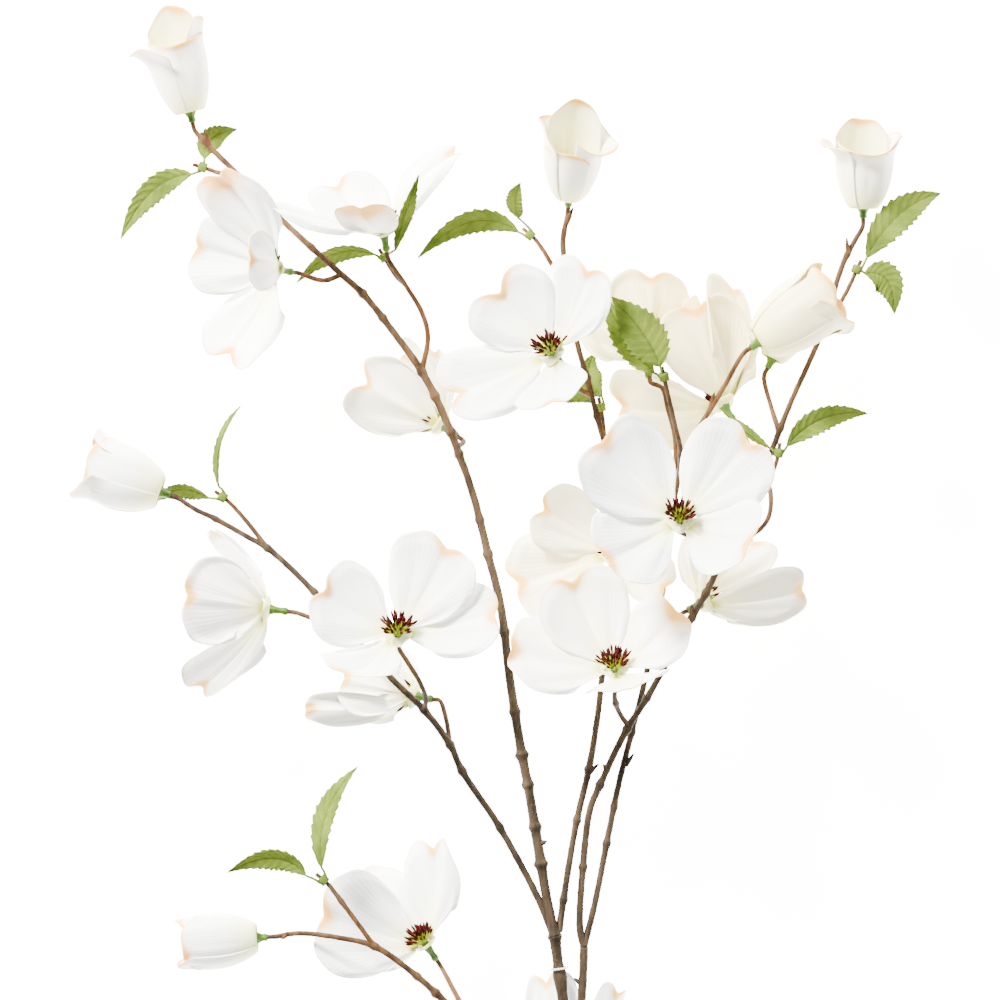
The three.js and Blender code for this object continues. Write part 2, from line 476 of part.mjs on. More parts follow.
// The green collar, the neck through the corolla's ring and the tuft of stamens.
function heart([name, place, facing]) {
  const centre = vec(place);
  const axis = vec(facing).normalize();
  const stamen = prism(STAMEN_FOOT, ANTHER, 0, STAMEN_LENGTH, STAMEN_SIDES);
  const upright = along(stamen, new THREE.Vector3(0, 0, STAMEN_ROOT), UP);
  const parts = [toSolid(lathe(HEART_PROFILE, RING_SIDES)), toSolid(upright)];
  for (let i = 0; i < STAMENS - 1; i += 1) {
    const turn = (2 * Math.PI * i) / (STAMENS - 1);
    const away = new THREE.Vector3(Math.cos(turn), Math.sin(turn), 0);
    const root = away.clone().multiplyScalar(STAMEN_RING).setZ(STAMEN_ROOT);
    const way = away.multiplyScalar(Math.sin(STAMEN_LEAN)).setZ(Math.cos(STAMEN_LEAN));
    parts.push(toSolid(along(stamen, root, way)));
  }
  const turn = new THREE.Quaternion().setFromUnitVectors(UP, axis);
  const mesh = toMesh(`${name}_heart`, fuse(parts), HEART_GREEN());
  mesh.quaternion.copy(turn);
  mesh.position.copy(centre);
  return mesh;
}

// ---- buds ----
// A bud's outline as radius over height, both as shares, before its rim flares.
function budOutline(h) {
  return BUD_FOOT + (1 - BUD_FOOT) * Math.sin(Math.PI * Math.min(h * BUD_RISE + 0.02, 1)) ** BUD_FULLNESS;
}

// The rim rises to each of the four petals' tips and flares out there.
function budPoint([, place, top, radius, tips], turn, share, inset) {
  const height = vec(top).distanceTo(vec(place));
  let rise = 0;
  let flare = 0;
  let total = 0;
  tips.forEach(([tipTurn, tipFlare, tipHeight]) => {
    const near = Math.max(0, Math.cos(turn - radians(tipTurn))) ** BUD_LOBE + 0.02;
    rise += near * tipHeight;
    flare += near * tipFlare;
    total += near;
  });
  const lobe = Math.abs(Math.cos(2 * (turn - radians(tips[0][0]))));
  const tall = share * ((rise / total) - BUD_DIP * (1 - lobe) * share);
  const rim = (flare / total) * lobe * Math.max(0, (share - BUD_LIP) / (1 - BUD_LIP)) ** 2;
  const reach = radius * (budOutline(tall) + rim) - inset;
  return new THREE.Vector3(reach * Math.cos(turn), reach * Math.sin(turn), height * tall);
}

function bud(row) {
  const [name, place, top] = row;
  const foot = vec(place);
  const axis = vec(top).sub(foot).normalize();
  const around = Array.from({ length: BUD_SIDES }, (_, k) => (2 * Math.PI * k) / BUD_SIDES);
  const outside = BUD_ROWS.map((v) => around.map((turn) => budPoint(row, turn, v, 0)));
  const wall = (v) => BUD_WALL + BUD_FILL * (1 - v);
  const inside = BUD_HOLLOW_ROWS.map((v) => around.map((turn) => budPoint(row, turn, v, wall(v))));
  const mesh = toMesh(name, toSolid(closedRings([...outside, ...inside])), PETAL_WHITE());
  mesh.quaternion.setFromUnitVectors(UP, axis);
  mesh.position.copy(foot);
  return mesh;
}

function budCollar([name, place, top]) {
  const foot = vec(place);
  const axis = vec(top).sub(foot).normalize();
  const collar = along(lathe(BUD_COLLAR_PROFILE, RING_SIDES), foot, axis);
  return toMesh(`${name}_collar`, toSolid(collar), COLLAR_GREEN());
}

// ---- leaves ----
// Half a leaf's width at s along it, with saw teeth that lean to the tip.
function leafHalfWidth(s, width, tooth) {
  return 0.5 * width * Math.sin(Math.PI * s ** LEAF_BROADEST) * (tooth ? TOOTH_TIP : TOOTH_GAP);
}

// A leaf on its flat petiole, which starts at root inside the sleeve.
function leaf(root, [foot, bend, tip, width, faces]) {
  const spine = new THREE.QuadraticBezierCurve3(vec(foot), vec(bend), vec(tip));
  const hint = vec(faces).normalize();
  const rows = LEAF_TEETH * 2 + 1;
  const ribs = [[root, vec(foot).sub(root).normalize(), 0]];
  for (let i = 0; i <= rows; i += 1) {
    const tooth = i % 2 === 1 && i < rows;
    const s = (i + (tooth ? 0.3 : 0)) / rows;
    const half = i === rows ? 0 : Math.max(leafHalfWidth(s, width, tooth), PETIOLE);
    ribs.push([spine.getPoint(s), spine.getTangent(s), half]);
  }
  const grid = ribs.map(([centre, tangent, half]) => {
    const sideways = tangent.clone().cross(hint).normalize();
    const normal = sideways.clone().cross(tangent);
    const edge = (way) => centre.clone().addScaledVector(sideways, way * half)
      .addScaledVector(normal, LEAF_FOLD * half);
    return [edge(-1), centre, edge(1)];
  });
  return blade(grid, 1);
}

function leafPair([name, place, direction, first, second]) {
  const centre = vec(place);
  const axis = vec(direction).normalize();
  const half = SLEEVE_LENGTH / 2;
  const clasp = along(sleeve(SLEEVE_BORE, SLEEVE_RADIUS, -half, half, CLASP_SIDES), centre, axis);
  const parts = [toSolid(clasp)];
  [first, second].forEach((row) => {
    const away = vec(row[0]).sub(centre);
    away.addScaledVector(axis, -away.dot(axis)).normalize();
    const root = centre.clone().addScaledVector(away, SLEEVE_ROOT);
    parts.push(leaf(root, row));
  });
  return toMesh(name, fuse(parts), LEAF_GREEN());
}

// ---- wood ----
// Where a bloom's or bud's collar meets its twig, and the way that it points.
function collarEnd(name) {
  const bloom = BLOOMS.find((row) => row[0] === name);
  if (bloom) {
    const axis = vec(bloom[2]).normalize();
    return [vec(bloom[1]).addScaledVector(axis, -COLLAR_LENGTH - GAP), axis];
  }
  const row = BUDS.find((entry) => entry[0] === name);
  const axis = vec(row[2]).sub(vec(row[1])).normalize();
  return [vec(row[1]).addScaledVector(axis, -BUD_COLLAR - GAP), axis];
}

function carrier(name, points) {
  const [end, axis] = collarEnd(name);
  const before = end.clone().addScaledVector(axis, -TWIG_RUN);
  return [...points, [...before.toArray(), TWIG], [...end.toArray(), TWIG]];
}

function leafTwig(name, points) {
  const [, place, direction] = LEAF_PAIRS.find((row) => row[0] === name);
  const axis = vec(direction).normalize();
  const before = vec(place).addScaledVector(axis, -SLEEVE_LENGTH / 2 - 1);
  const end = vec(place).addScaledVector(axis, SLEEVE_LENGTH / 2 + LEAF_TWIG_RUN);
  return [...points, [...before.toArray(), LEAF_TWIG], [...end.toArray(), LEAF_TWIG_END]];
}

function nub([foot, tip, radius]) {
  const from = vec(foot);
  const axis = vec(tip).sub(from);
  return toSolid(along(prism(radius, radius * NUB_TAPER, 0, axis.length(), 4), from, axis));
}

function wood() {
  const parts = [stem(TRUNK, 8), stem(LEFT_STEM, 8, 1), stem(RIGHT_STEM, 6, 1)];
  parts.push(stem(carrier('bud_01', TALL), 6, 1), stem(carrier('bud_04', LEFT), 5, 1));
  parts.push(stem(carrier('bud_02', MIDDLE), 5, 1), stem(carrier('bud_03', RIGHT), 5, 1));
  parts.push(stem(carrier('bud_05', LOW), 5, 1), stem(leafTwig('leaves_07', INNER_RIGHT), 5, 1));
  CARRIERS.forEach(([name, points]) => parts.push(stem(carrier(name, points), 4, 1)));
  LEAF_TWIGS.forEach(([name, points]) => parts.push(stem(leafTwig(name, points), 4, 1)));
  NUBS.forEach((row) => parts.push(nub(row)));
  return toMesh('wood', fuse(parts), BARK_BROWN());
}

function tagLoop() {
  const { centre, radius, cord, sides } = TAG_LOOP;
  const profile = [
    [radius - cord, 0], [radius, -cord], [radius + cord, 0], [radius, cord], [radius - cord, 0],
  ];
  const axis = vec(LEFT_STEM[4]).sub(vec(LEFT_STEM[3]));
  return toMesh('tag_loop', toSolid(along(lathe(profile, sides), vec(centre), axis)), THREAD_WHITE());
}

// ---- assembly ----
const branch = new THREE.Group();
branch.name = 'dogwood_branch';
BLOOMS.forEach((row) => branch.add(corolla(row), heart(row)));
BUDS.forEach((row) => branch.add(bud(row), budCollar(row)));
LEAF_PAIRS.forEach((row) => branch.add(leafPair(row)));
branch.add(wood(), tagLoop());

// The origin is the middle of the foot of the whole branch's box.
const box = new THREE.Box3().setFromObject(branch, true);
branch.position.set(-(box.min.x + box.max.x) / 2, -(box.min.y + box.max.y) / 2, -box.min.z);

export default branch;
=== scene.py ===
import math
import bpy
import numpy as np
from mathutils import Matrix, Vector, noise


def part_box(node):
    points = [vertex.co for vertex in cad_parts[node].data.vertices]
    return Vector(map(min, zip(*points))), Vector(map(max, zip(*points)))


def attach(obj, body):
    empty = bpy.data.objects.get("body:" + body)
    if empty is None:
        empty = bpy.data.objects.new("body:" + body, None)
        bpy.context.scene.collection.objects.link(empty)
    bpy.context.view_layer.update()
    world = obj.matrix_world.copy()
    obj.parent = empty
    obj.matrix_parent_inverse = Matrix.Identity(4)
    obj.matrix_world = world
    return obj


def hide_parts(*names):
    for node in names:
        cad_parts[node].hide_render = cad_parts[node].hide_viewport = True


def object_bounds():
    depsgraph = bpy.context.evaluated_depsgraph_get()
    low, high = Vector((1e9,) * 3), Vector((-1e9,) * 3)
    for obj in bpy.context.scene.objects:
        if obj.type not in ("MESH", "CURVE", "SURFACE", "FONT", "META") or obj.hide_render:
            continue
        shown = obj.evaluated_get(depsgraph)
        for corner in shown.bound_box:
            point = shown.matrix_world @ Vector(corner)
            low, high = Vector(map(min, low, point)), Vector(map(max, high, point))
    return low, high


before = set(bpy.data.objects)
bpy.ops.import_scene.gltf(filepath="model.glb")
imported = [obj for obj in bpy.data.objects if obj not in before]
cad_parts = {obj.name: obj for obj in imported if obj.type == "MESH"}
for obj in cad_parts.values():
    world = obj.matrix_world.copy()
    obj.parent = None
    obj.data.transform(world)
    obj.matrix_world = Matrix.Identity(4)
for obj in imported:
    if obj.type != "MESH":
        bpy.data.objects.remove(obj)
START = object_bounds()
SEED = 11
rng = np.random.default_rng(SEED)

# ---- tables, in mm in the branch's own layout: x across, y along the stems, z up ----
# Blooms: name, centre, the way the bloom faces, then four petals as
# (tip x, tip y, tip z, width, bow, cup, roll in degrees about its own length).
BLOOMS = [
  ["bloom_01", [139, 364.5, 66], [-0.75, 0.1, 0.65],
    [[109, 411, 82, 0.88, 0.06, 0.1, 0], [96, 377, 50, 0.95, 0.06, 0.1, 0],
      [112, 319, 63, 1.05, 0.06, 0.1, 0], [126.5, 369, 98, 0.95, 0.08, 0.12, 0]]],
  ["bloom_02", [192, 383, 65], [-0.15, 0.85, 0.4],
    [[136, 396, 84, 0.5, 0.04, 0.1, 0], [166, 411, 38, 1, 0.06, 0.1, 0],
      [230, 424, 66, 0.62, -0.1, 0.08, 0], [181, 395, 98, 0.95, 0.08, 0.1, 0]]],
  ["bloom_03", [221, 287.5, 36.5], [-0.75, 0.55, -0.35],
    [[177, 312, 38, 0.9, 0.06, 0.1, 0], [217, 326, 34, 0.9, 0.06, 0.1, 0],
      [199, 325, 10.2, 0.9, 0.06, 0.1, 0], [187, 298, 10.2, 0.75, 0.06, 0.1, 4]]],
  ["bloom_04", [275.5, 322.5, 84.5], [-0.4, 0.35, 0.85],
    [[245, 357, 82, 1.12, 0.08, 0.1, 0], [294, 366, 92, 0.95, 0.08, 0.1, 0],
      [222, 302, 88, 0.85, 0.06, 0.1, 0], [276, 297, 108, 1.25, 0.12, 0.1, 0]]],
  ["bloom_05", [338, 240, 98], [0.05, 0.35, 0.94],
    [[299, 281, 103, 1, 0.1, 0.1, 0], [373, 281, 104, 1, 0.1, 0.1, 0],
      [371.5, 229, 118, 1.25, 0.12, 0.1, 0], [302, 221, 112, 1.15, 0.12, 0.1, 0]]],
  ["bloom_06", [306.5, 166, 80], [-0.05, 0.65, 0.75],
    [[285, 214, 74, 1, 0.08, 0.1, 0], [338, 196, 80, 1, 0.08, 0.1, 0],
      [255, 178, 86, 0.95, 0.06, 0.1, 0], [315, 160, 116, 1.3, 0.1, 0.1, 0]]],
  ["bloom_07", [199.5, 183.5, 84], [0, 0.45, 0.89],
    [[161, 207, 90, 1.1, 0.08, 0.1, 0], [225, 229, 84, 1, 0.08, 0.1, 0],
      [249, 196, 92, 0.85, 0.08, 0.1, 0], [173, 167, 112, 1.1, 0.12, 0.1, 25]]],
  ["bloom_08", [134, 195.5, 50], [-0.95, 0.12, -0.15],
    [[104.5, 235.5, 46, 0.62, 0.06, 0.1, -10], [93.5, 202, 76, 1, 0.06, 0.1, 0],
      [98, 155, 44, 0.95, 0.06, 0.1, 25], [94, 196, 24, 0.9, 0.06, 0.1, 0]]],
  ["bloom_09", [207.5, 151.5, 36], [-0.85, 0.15, -0.45],
    [[152, 145, 34, 0.42, 0.06, 0.1, 0], [170, 160, 42, 0.9, 0.06, 0.1, 0],
      [188, 186, 20, 0.9, 0.06, 0.1, 0], [177, 151, 9, 0.8, 0.06, 0.1, 0]]],
  ["bloom_10", [212.5, 26.5, 33], [-0.5, 0.75, 0.25],
    [[215, 79, 26, 0.95, 0.06, 0.1, 0], [159, 43, 43, 1.05, 0.06, 0.1, -60],
      [176, 57, 9, 0.85, 0.06, 0.1, 0], [180, 14, 20, 0.8, 0.06, 0.1, 0]]],
  ["bloom_11", [322.5, 319, 43.5], [-0.2, 0.7, -0.6],
    [[294, 346, 42, 0.95, 0.06, 0.1, 2], [326, 365, 40, 1.1, 0.06, 0.1, 0],
      [352, 346, 24, 0.9, 0.06, 0.1, 0], [306, 334, 9, 0.9, 0.06, 0.1, 0]]],
  ["bloom_12", [362, 297.5, 48.5], [-0.45, 0.75, -0.5],
    [[346, 349, 58, 0.95, 0.06, 0.1, -4], [366, 360, 28, 1, 0.06, 0.1, 0],
      [376, 329, 7.6, 0.85, 0.06, 0.1, 0], [309, 299.5, 17, 0.85, 0.06, 0, 38]]],
  ["bloom_13", [306, 224, 60], [-0.15, 0.2, 0.95],
    [[269, 248, 66, 0.9, 0.08, 0.1, 0], [256, 208, 66, 0.95, 0.08, 0.1, 0],
      [334, 206, 66, 0.9, 0.08, 0.1, 0], [332, 256, 66, 0.9, 0.08, 0.1, 0]]],
  ["bloom_14", [351.5, 198.5, 39], [0.75, 0.4, -0.5],
    [[346, 232, 34, 0.9, 0.06, 0.1, 4], [382, 230, 26, 0.9, 0.06, 0.1, 0],
      [403.5, 205, 34, 0.75, 0.06, 0.1, 0], [374, 196, 8, 0.9, 0.06, 0.1, 0]]],
  ["bloom_15", [288, -38, 35], [0, 0.8, -0.3],
    [[273, 12, 32, 0.8, 0.06, 0.1, 0], [309, 5, 30, 0.8, 0.06, 0.1, 0],
      [325, -25, 30, 0.9, 0.06, 0.1, -4], [268, -18, 10, 0.9, 0.06, 0.1, 0]]],
]

# Buds: name, foot, top, greatest radius, then each petal's tip as
# (turn in degrees round the bud, flare as a share of the radius, height as a share of the bud's).
BUDS = [
  ["bud_01", [95, 444, 50], [82, 497, 54], 15,
    [[210, 0.55, 0.72], [90, 0, 1], [15, 0.25, 0.87], [295, 0.12, 0.65]]],
  ["bud_02", [284.5, 401.5, 52], [288, 444, 74], 14.5,
    [[170, 0.4, 0.9], [80, 0.15, 1.02], [335, 0.5, 0.72], [235, 0.05, 0.64]]],
  ["bud_03", [431.5, 396, 52], [432, 441, 58], 14.5,
    [[180, 0.6, 0.82], [95, 0.1, 1], [10, 0.55, 0.9], [275, 0.35, 0.68]]],
  ["bud_04", [80, 254, 46], [38, 269, 46], 16,
    [[85, 0.4, 1], [175, 0, 0.92], [265, 0.35, 1], [5, 0.1, 0.9]]],
  ["bud_05", [128.5, 31, 49], [86, 28, 49], 14,
    [[95, 0.05, 0.96], [180, 0, 0.9], [270, 0.15, 1], [0, 0.05, 0.9]]],
  ["bud_06", [378, 328, 82], [418, 356, 84], 17,
    [[10, 0.2, 0.95], [100, 0.2, 1], [190, 0.2, 0.97], [280, 0.48, 0.96]]],
  ["bud_07", [387, 321, 33], [405, 357, 30], 11,
    [[0, 0.1, 1], [90, 0.3, 0.95], [180, 0.3, 1], [270, 0.2, 0.95]]],
]

# Leaf pairs: name, sleeve centre, the twig's direction there, then two leaves as
# (foot, bend, tip, width, the way the blade faces).
LEAF_PAIRS = [
  ["leaves_01", [101, 416.5, 47], [-0.95, 0.3, 0],
    [[102, 421, 46], [101, 434, 42], [118, 436, 40], 12, [0.3, 0.2, 1]],
    [[95.5, 413, 47], [74, 412, 48], [60, 381, 44], 13, [0.2, 0, 1]]],
  ["leaves_02", [192, 371.5, 48], [-0.5, 0.85, 0],
    [[198, 375, 56], [202, 388, 88], [210, 410, 88], 10, [0.6, -0.4, 0.6]],
    [[187, 373, 48], [166, 380, 46], [148, 359, 40], 12, [0.2, -0.7, 0.6]]],
  ["leaves_03", [265, 382.5, 52], [-0.75, 0.65, 0],
    [[259, 384, 52], [236, 400, 54], [209, 371, 50], 12, [0.1, -0.2, 1]],
    [[259, 391, 53], [256, 398, 60], [260, 407, 74], 11, [-0.6, -0.6, 0.5]]],
  ["leaves_04", [428, 365, 56], [0.4, 0.9, 0],
    [[433, 371, 57], [447, 398, 58], [470, 403, 54], 17, [0, 0.1, 1]],
    [[432, 363, 56], [447, 366, 56], [447, 343, 52], 16, [0, 0, 1]]],
  ["leaves_05", [111, 251.5, 44], [-0.8, 0.6, 0],
    [[109, 257, 44], [105, 280, 46], [120, 297, 46], 10, [-0.9, 0.3, 0.4]],
    [[104, 251, 42], [88, 260, 37], [75, 249, 32], 13, [0.1, -0.8, 0.6]]],
  ["leaves_06", [162, 60.5, 58], [-0.75, 0.65, 0],
    [[161, 67, 58], [157, 96, 60], [179, 117, 60], 13, [-0.5, 0.4, 0.8]],
    [[153, 63, 58], [140, 79, 57], [114, 64, 52], 13, [0, -0.5, 0.8]]],
  ["leaves_07", [331, 311, 80], [-0.2, 0.95, 0.3],
    [[329, 316, 83], [323, 332, 88], [305, 350, 88], 22, [0.1, 0, 1]],
    [[326, 313, 80], [312, 328, 76], [301, 352, 72], 16, [-0.6, 0, 0.8]]],
  ["leaves_08", [388.5, 273.5, 62], [0.15, 0.95, 0.1],
    [[393, 277, 62], [408, 296, 64], [433, 293, 60], 13, [0, -0.3, 0.9]],
    [[384, 276, 62], [373, 282, 64], [359, 296, 64], 9, [0.6, 0.6, 0.5]]],
  ["leaves_09", [300.5, 296.5, 42], [-0.2, 0.95, 0],
    [[296, 299, 42], [286, 312, 41], [272, 301, 38], 15, [0, -0.2, 1]],
    [[301, 302, 41], [290, 312, 36], [298, 324, 34], 13, [0.3, -0.2, 1]]],
]

# Wood: each stem as its centre line, (x, y, z, radius).
TRUNK = [[292, -330, 3.6, 3.6], [290, -250, 14, 3.5], [288, -160, 34, 3.4], [287, -75, 48, 3.4],
  [286.5, -48, 50, 3.3]]
LEFT_STEM = [[286.5, -48, 50, 2.9], [283, -10, 50, 2.6], [281, 4, 50, 2.6], [280, 12, 50, 3.5],
  [279, 19, 50, 2.5], [277.5, 32, 50, 2.8]]
RIGHT_STEM = [[286.5, -48, 50, 2.6], [290, -12, 50, 2.2], [291.5, 12, 50, 2.1], [292, 26.5, 50, 2.1]]
TALL = [[277.5, 32, 50, 2.6], [273.5, 50, 50, 2.4], [270.5, 68, 50, 2.5], [264, 107.5, 50, 2.3],
  [261, 122.5, 50, 2.4], [255, 159.5, 50, 2.2], [250.5, 196, 50, 2.1], [244, 223, 51, 2],
  [236, 254.5, 52, 1.9], [229.5, 273, 53, 1.9], [223, 290, 54, 1.9], [211, 314, 55, 1.9],
  [200, 329.5, 55, 1.8], [181.5, 353, 55, 1.7], [171, 362.5, 55, 1.7], [143.5, 387.5, 54, 1.5],
  [119, 412.5, 53, 1.5], [104, 427.5, 51.5, 1.4]]
LEFT = [[278, 28, 49, 1.8], [270.5, 47.5, 49, 1.8], [250, 86, 49, 1.7], [231, 114.5, 49, 1.7],
  [225, 127.5, 49, 1.7], [212, 145, 49, 1.7], [197.5, 159, 49, 1.6], [175, 183.5, 49, 1.5],
  [157, 204, 48, 1.5], [133.5, 226, 47, 1.5], [124.5, 231, 46, 1.4], [107.5, 240.5, 45, 1.3],
  [97, 245.5, 45.5, 1.3]]
MIDDLE = [[279.5, 34, 49, 1.8], [281.5, 48, 47, 1.7], [288.5, 89.5, 45, 1.6], [294.5, 115, 45, 1.7],
  [299, 142.5, 44, 1.6], [302, 170, 42, 1.6], [305, 205, 40, 1.5], [307.5, 247.5, 42, 1.5],
  [303, 275, 46, 1.5], [298.5, 292, 50, 1.4], [293.5, 311, 52, 1.4], [288.5, 329, 52, 1.4],
  [285, 355, 51, 1.4], [281.5, 378, 49, 1.4]]
RIGHT = [[292, 26.5, 50, 2], [290, 36, 50, 1.8], [291.5, 66.5, 50, 1.7], [295, 95, 50, 1.7],
  [300, 107.5, 50, 1.7], [313.5, 135.5, 50, 1.7], [323.5, 151, 50, 1.6], [343, 186, 50, 1.6],
  [353, 203.5, 50, 1.6], [361.5, 221, 50, 1.5], [377.5, 255.5, 52, 1.5], [386, 275.5, 53, 1.5],
  [394.5, 297, 53, 1.4], [411, 334.5, 53, 1.4], [421, 367, 52, 1.4], [427, 379, 51, 1.3]]
INNER_RIGHT = [
  [292, 26.5, 50, 1.8], [297.5, 48, 46, 1.6], [303.5, 78, 44, 1.6], [309.5, 107.5, 44, 1.6],
  [316, 133.5, 44, 1.5], [321.5, 155, 44, 1.5], [330, 195, 44, 1.5], [337, 248, 46, 1.4],
  [340, 272, 60, 1.3], [336, 290, 73, 1.2],
]
LOW = [[287, -75, 48, 2.2], [262, -42, 50, 2], [240, -17, 52, 1.8], [220.5, 1.5, 54, 1.7],
  [208.5, 12.5, 56, 1.6], [187.5, 27.5, 58, 1.5], [171, 31.5, 57, 1.3], [150, 33.5, 52, 1.3]]
# Twigs that end at a bloom's or bud's collar.
CARRIERS = [
  ["bloom_01", [[171, 362.5, 55, 1.4], [162, 359.5, 57, 1.3]]],
  ["bloom_02", [[211, 314, 55, 1.4], [214, 331.5, 56, 1.3], [211, 343.5, 57, 1.3], [203, 357, 59, 1.2]]],
  ["bloom_03", [[228, 276, 52.5, 1.4]]],
  ["bloom_04", [[295.5, 302, 51, 1.3], [286, 308, 60, 1.3]]],
  ["bloom_05", [[382, 263, 52, 1.3], [385, 253, 56, 1.2], [383, 240, 62, 1.2], [372, 231, 70, 1.2],
    [354, 229, 80, 1.2]]],
  ["bloom_06", [[314.5, 136.5, 50, 1.3], [309.5, 144, 56, 1.3], [307, 152, 66, 1.2]]],
  ["bloom_07", [[212, 145, 49, 1.3], [213, 151, 58, 1.3], [210, 160, 68, 1.2]]],
  ["bloom_08", [[175, 183.5, 49, 1.4], [161, 189, 50, 1.3]]],
  ["bloom_09", [[225, 127.5, 49, 1.3], [223, 140, 44, 1.2]]],
  ["bloom_10", [[240, -17, 52, 1.5], [229, 0, 42, 1.4]]],
  ["bloom_11", [[337, 250, 46, 1.3], [337.5, 280, 50, 1.2], [333.7, 296, 52, 1.2], [331, 306, 52, 1.2]]],
  ["bloom_12", [[379, 259, 52, 1.3], [377, 272, 52, 1.2]]],
  ["bloom_13", [[302, 170, 42, 1.3], [304, 200, 46, 1.2]]],
  ["bloom_14", [[332, 166, 50, 1.3], [340, 186, 46, 1.3]]],
  ["bloom_15", [[287, -75, 48, 1.5], [288, -62, 44, 1.4]]],
  ["bud_06", [[340, 272, 60, 1.3], [354, 294.5, 72, 1.3], [360.5, 305.5, 78, 1.2]]],
  ["bud_07", [[389.5, 284, 53, 1.3], [385.5, 298, 44, 1.2]]],
]
# Twigs that run on through a leaf pair's sleeve.
LEAF_TWIGS = [
  ["leaves_01", [[119, 412.5, 53, 1.2], [110, 413.5, 50, 1.2]]],
  ["leaves_02", [[203, 357, 58, 1.2], [198, 362, 51, 1.2]]],
  ["leaves_03", [[286, 348, 51.5, 1.2], [274.5, 370, 52, 1.2]]],
  ["leaves_04", [[411, 334.5, 53, 1.2], [419, 347, 55, 1.2], [424.5, 357, 56, 1.1]]],
  ["leaves_05", [[133.5, 226, 47, 1.3], [122, 240.5, 44, 1.2]]],
  ["leaves_06", [[187.5, 27.5, 58, 1.3], [171, 50, 60, 1.2]]],
  ["leaves_08", [[381, 263.5, 52.4, 1.2], [385.5, 264, 58, 1.1]]],
  ["leaves_09", [[303, 275, 46, 1.2], [302, 286, 43, 1.1]]],
]
# Nubs and bud scales: foot, tip, radius.
NUBS = [
  [[269, 78, 50], [273.5, 79.5, 52], 1.6], [[231, 114.5, 49], [229.5, 117, 51], 1.5],
  [[294, 113, 45], [299.5, 118, 47], 1.2], [[283, 388, 48.5], [286.5, 396, 52], 1.4],
  [[105, 426, 51.5], [103, 434, 54], 1.4], [[304, 114, 50], [301.5, 118, 52], 1.4],
  [[346, 191, 50], [345.5, 198, 52], 1.4], [[424, 373, 52], [423, 381, 54], 1.2],
  [[313, 117, 44], [317, 123, 46], 1.3], [[354, 295, 72.5], [356, 303, 76], 1.2],
  [[144, 33.5, 50.5], [141, 30.5, 52], 1.2], [[290.6, 8, 50], [287, 11, 51], 1.3],
]
TAG_CENTRE = [279.6, 15.8, 50]
TAG_RADIUS = 4.1
STRAND_RADIUS, STRAND_SHIFT, STRAND_TURNS = 0.27, 0.26, 14

# Slight warmth of each bloom's and bud's white, 0 to 1.
WARM = {"bloom_03": 0.5, "bloom_06": 0.25, "bloom_08": 0.2, "bloom_09": 0.35, "bloom_11": 1.0,
        "bloom_12": 1.0, "bloom_13": 0.7, "bloom_14": 0.6, "bud_06": 1.0, "bud_07": 0.6,
        "bud_01": 0.35, "bud_02": 0.35, "bud_03": 0.4, "bud_05": 0.2}
# Node rings on the stems: place and swelling as a share of the radius.
RINGS = [
  ([277.5, 32, 50], 0.3), ([270.5, 68, 50], 0.4), ([267, 86.5, 50], 0.35), ([264, 107.5, 50], 0.35),
  ([261, 122.5, 50], 0.45), ([257, 144, 50], 0.3), ([252, 184, 50], 0.3), ([244, 223, 51], 0.3),
  ([239.5, 240, 51], 0.3), ([229.5, 273, 53], 0.3), ([226, 284, 54], 0.45), ([217.5, 302, 54], 0.35),
  ([211, 314, 55], 0.3), ([191.5, 341, 55], 0.3), ([181.5, 353, 55], 0.4), ([156.5, 377, 54], 0.3),
  ([130, 401, 53], 0.3), ([103, 430, 51], 0.4), ([250, 86, 49], 0.3), ([231, 114.5, 49], 0.4),
  ([225, 127.5, 49], 0.4), ([212, 145, 49], 0.35), ([188, 170, 49], 0.3), ([175, 183.5, 49], 0.3),
  ([157, 204, 48], 0.3), ([133.5, 226, 47], 0.4), ([107.5, 240.5, 45], 0.3), ([86, 252, 46], 0.3),
  ([281, 50, 47], 0.35), ([288.5, 89.5, 45], 0.35), ([294.5, 115, 45], 0.4), ([298.5, 292, 50], 0.4),
  ([293.5, 311, 52], 0.5), ([280.5, 384.5, 50], 0.5), ([291.5, 66.5, 50], 0.3),
  ([300, 107.5, 50], 0.4), ([313.5, 135.5, 50], 0.35), ([323.5, 151, 50], 0.3), ([346, 191, 50], 0.35),
  ([353, 203.5, 50], 0.35), ([377.5, 255.5, 52], 0.4), ([389, 286.5, 53], 0.4),
  ([411, 334.5, 53], 0.35), ([423, 373, 52], 0.3), ([303.5, 78, 44], 0.35), ([306, 96.5, 44], 0.4),
  ([316, 133.5, 44], 0.35), ([308, 149.5, 62], 0.5), ([218, 4, 54], 0.5), ([208.5, 12.5, 56], 0.3),
  ([187.5, 27.5, 58], 0.4), ([139.5, 32, 52], 0.4), ([171, 50, 60], 0.3), ([356, 302, 74.5], 0.4),
  ([340, 272, 60], 0.4), ([386, 292, 50], 0.4),
]
# How far round a node ring the bark swells, and the widths of its sharp ridge and its soft foot.
RING_REACH, RING_RIDGE, RING_FOOT = 7, 1.5, 3.5

# ---- frame shift, from the tag loop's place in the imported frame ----
low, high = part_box("tag_loop")
SHIFT = (np.array(low) + np.array(high)) / 2 - np.array(TAG_CENTRE) / 1000


def metres(points):
    """Points in the layout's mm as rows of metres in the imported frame."""
    return np.asarray(points, float).reshape(-1, 3) / 1000 + SHIFT


def unit(v):
    v = np.asarray(v, float)
    return v / np.linalg.norm(v, axis=-1, keepdims=True)


def smooth(x, a, b):
    """0 at a, 1 at b, and an even S between them. Either of the two may be the greater."""
    t = np.clip((np.asarray(x, float) - a) / (b - a), 0, 1)
    return t * t * (3 - 2 * t)


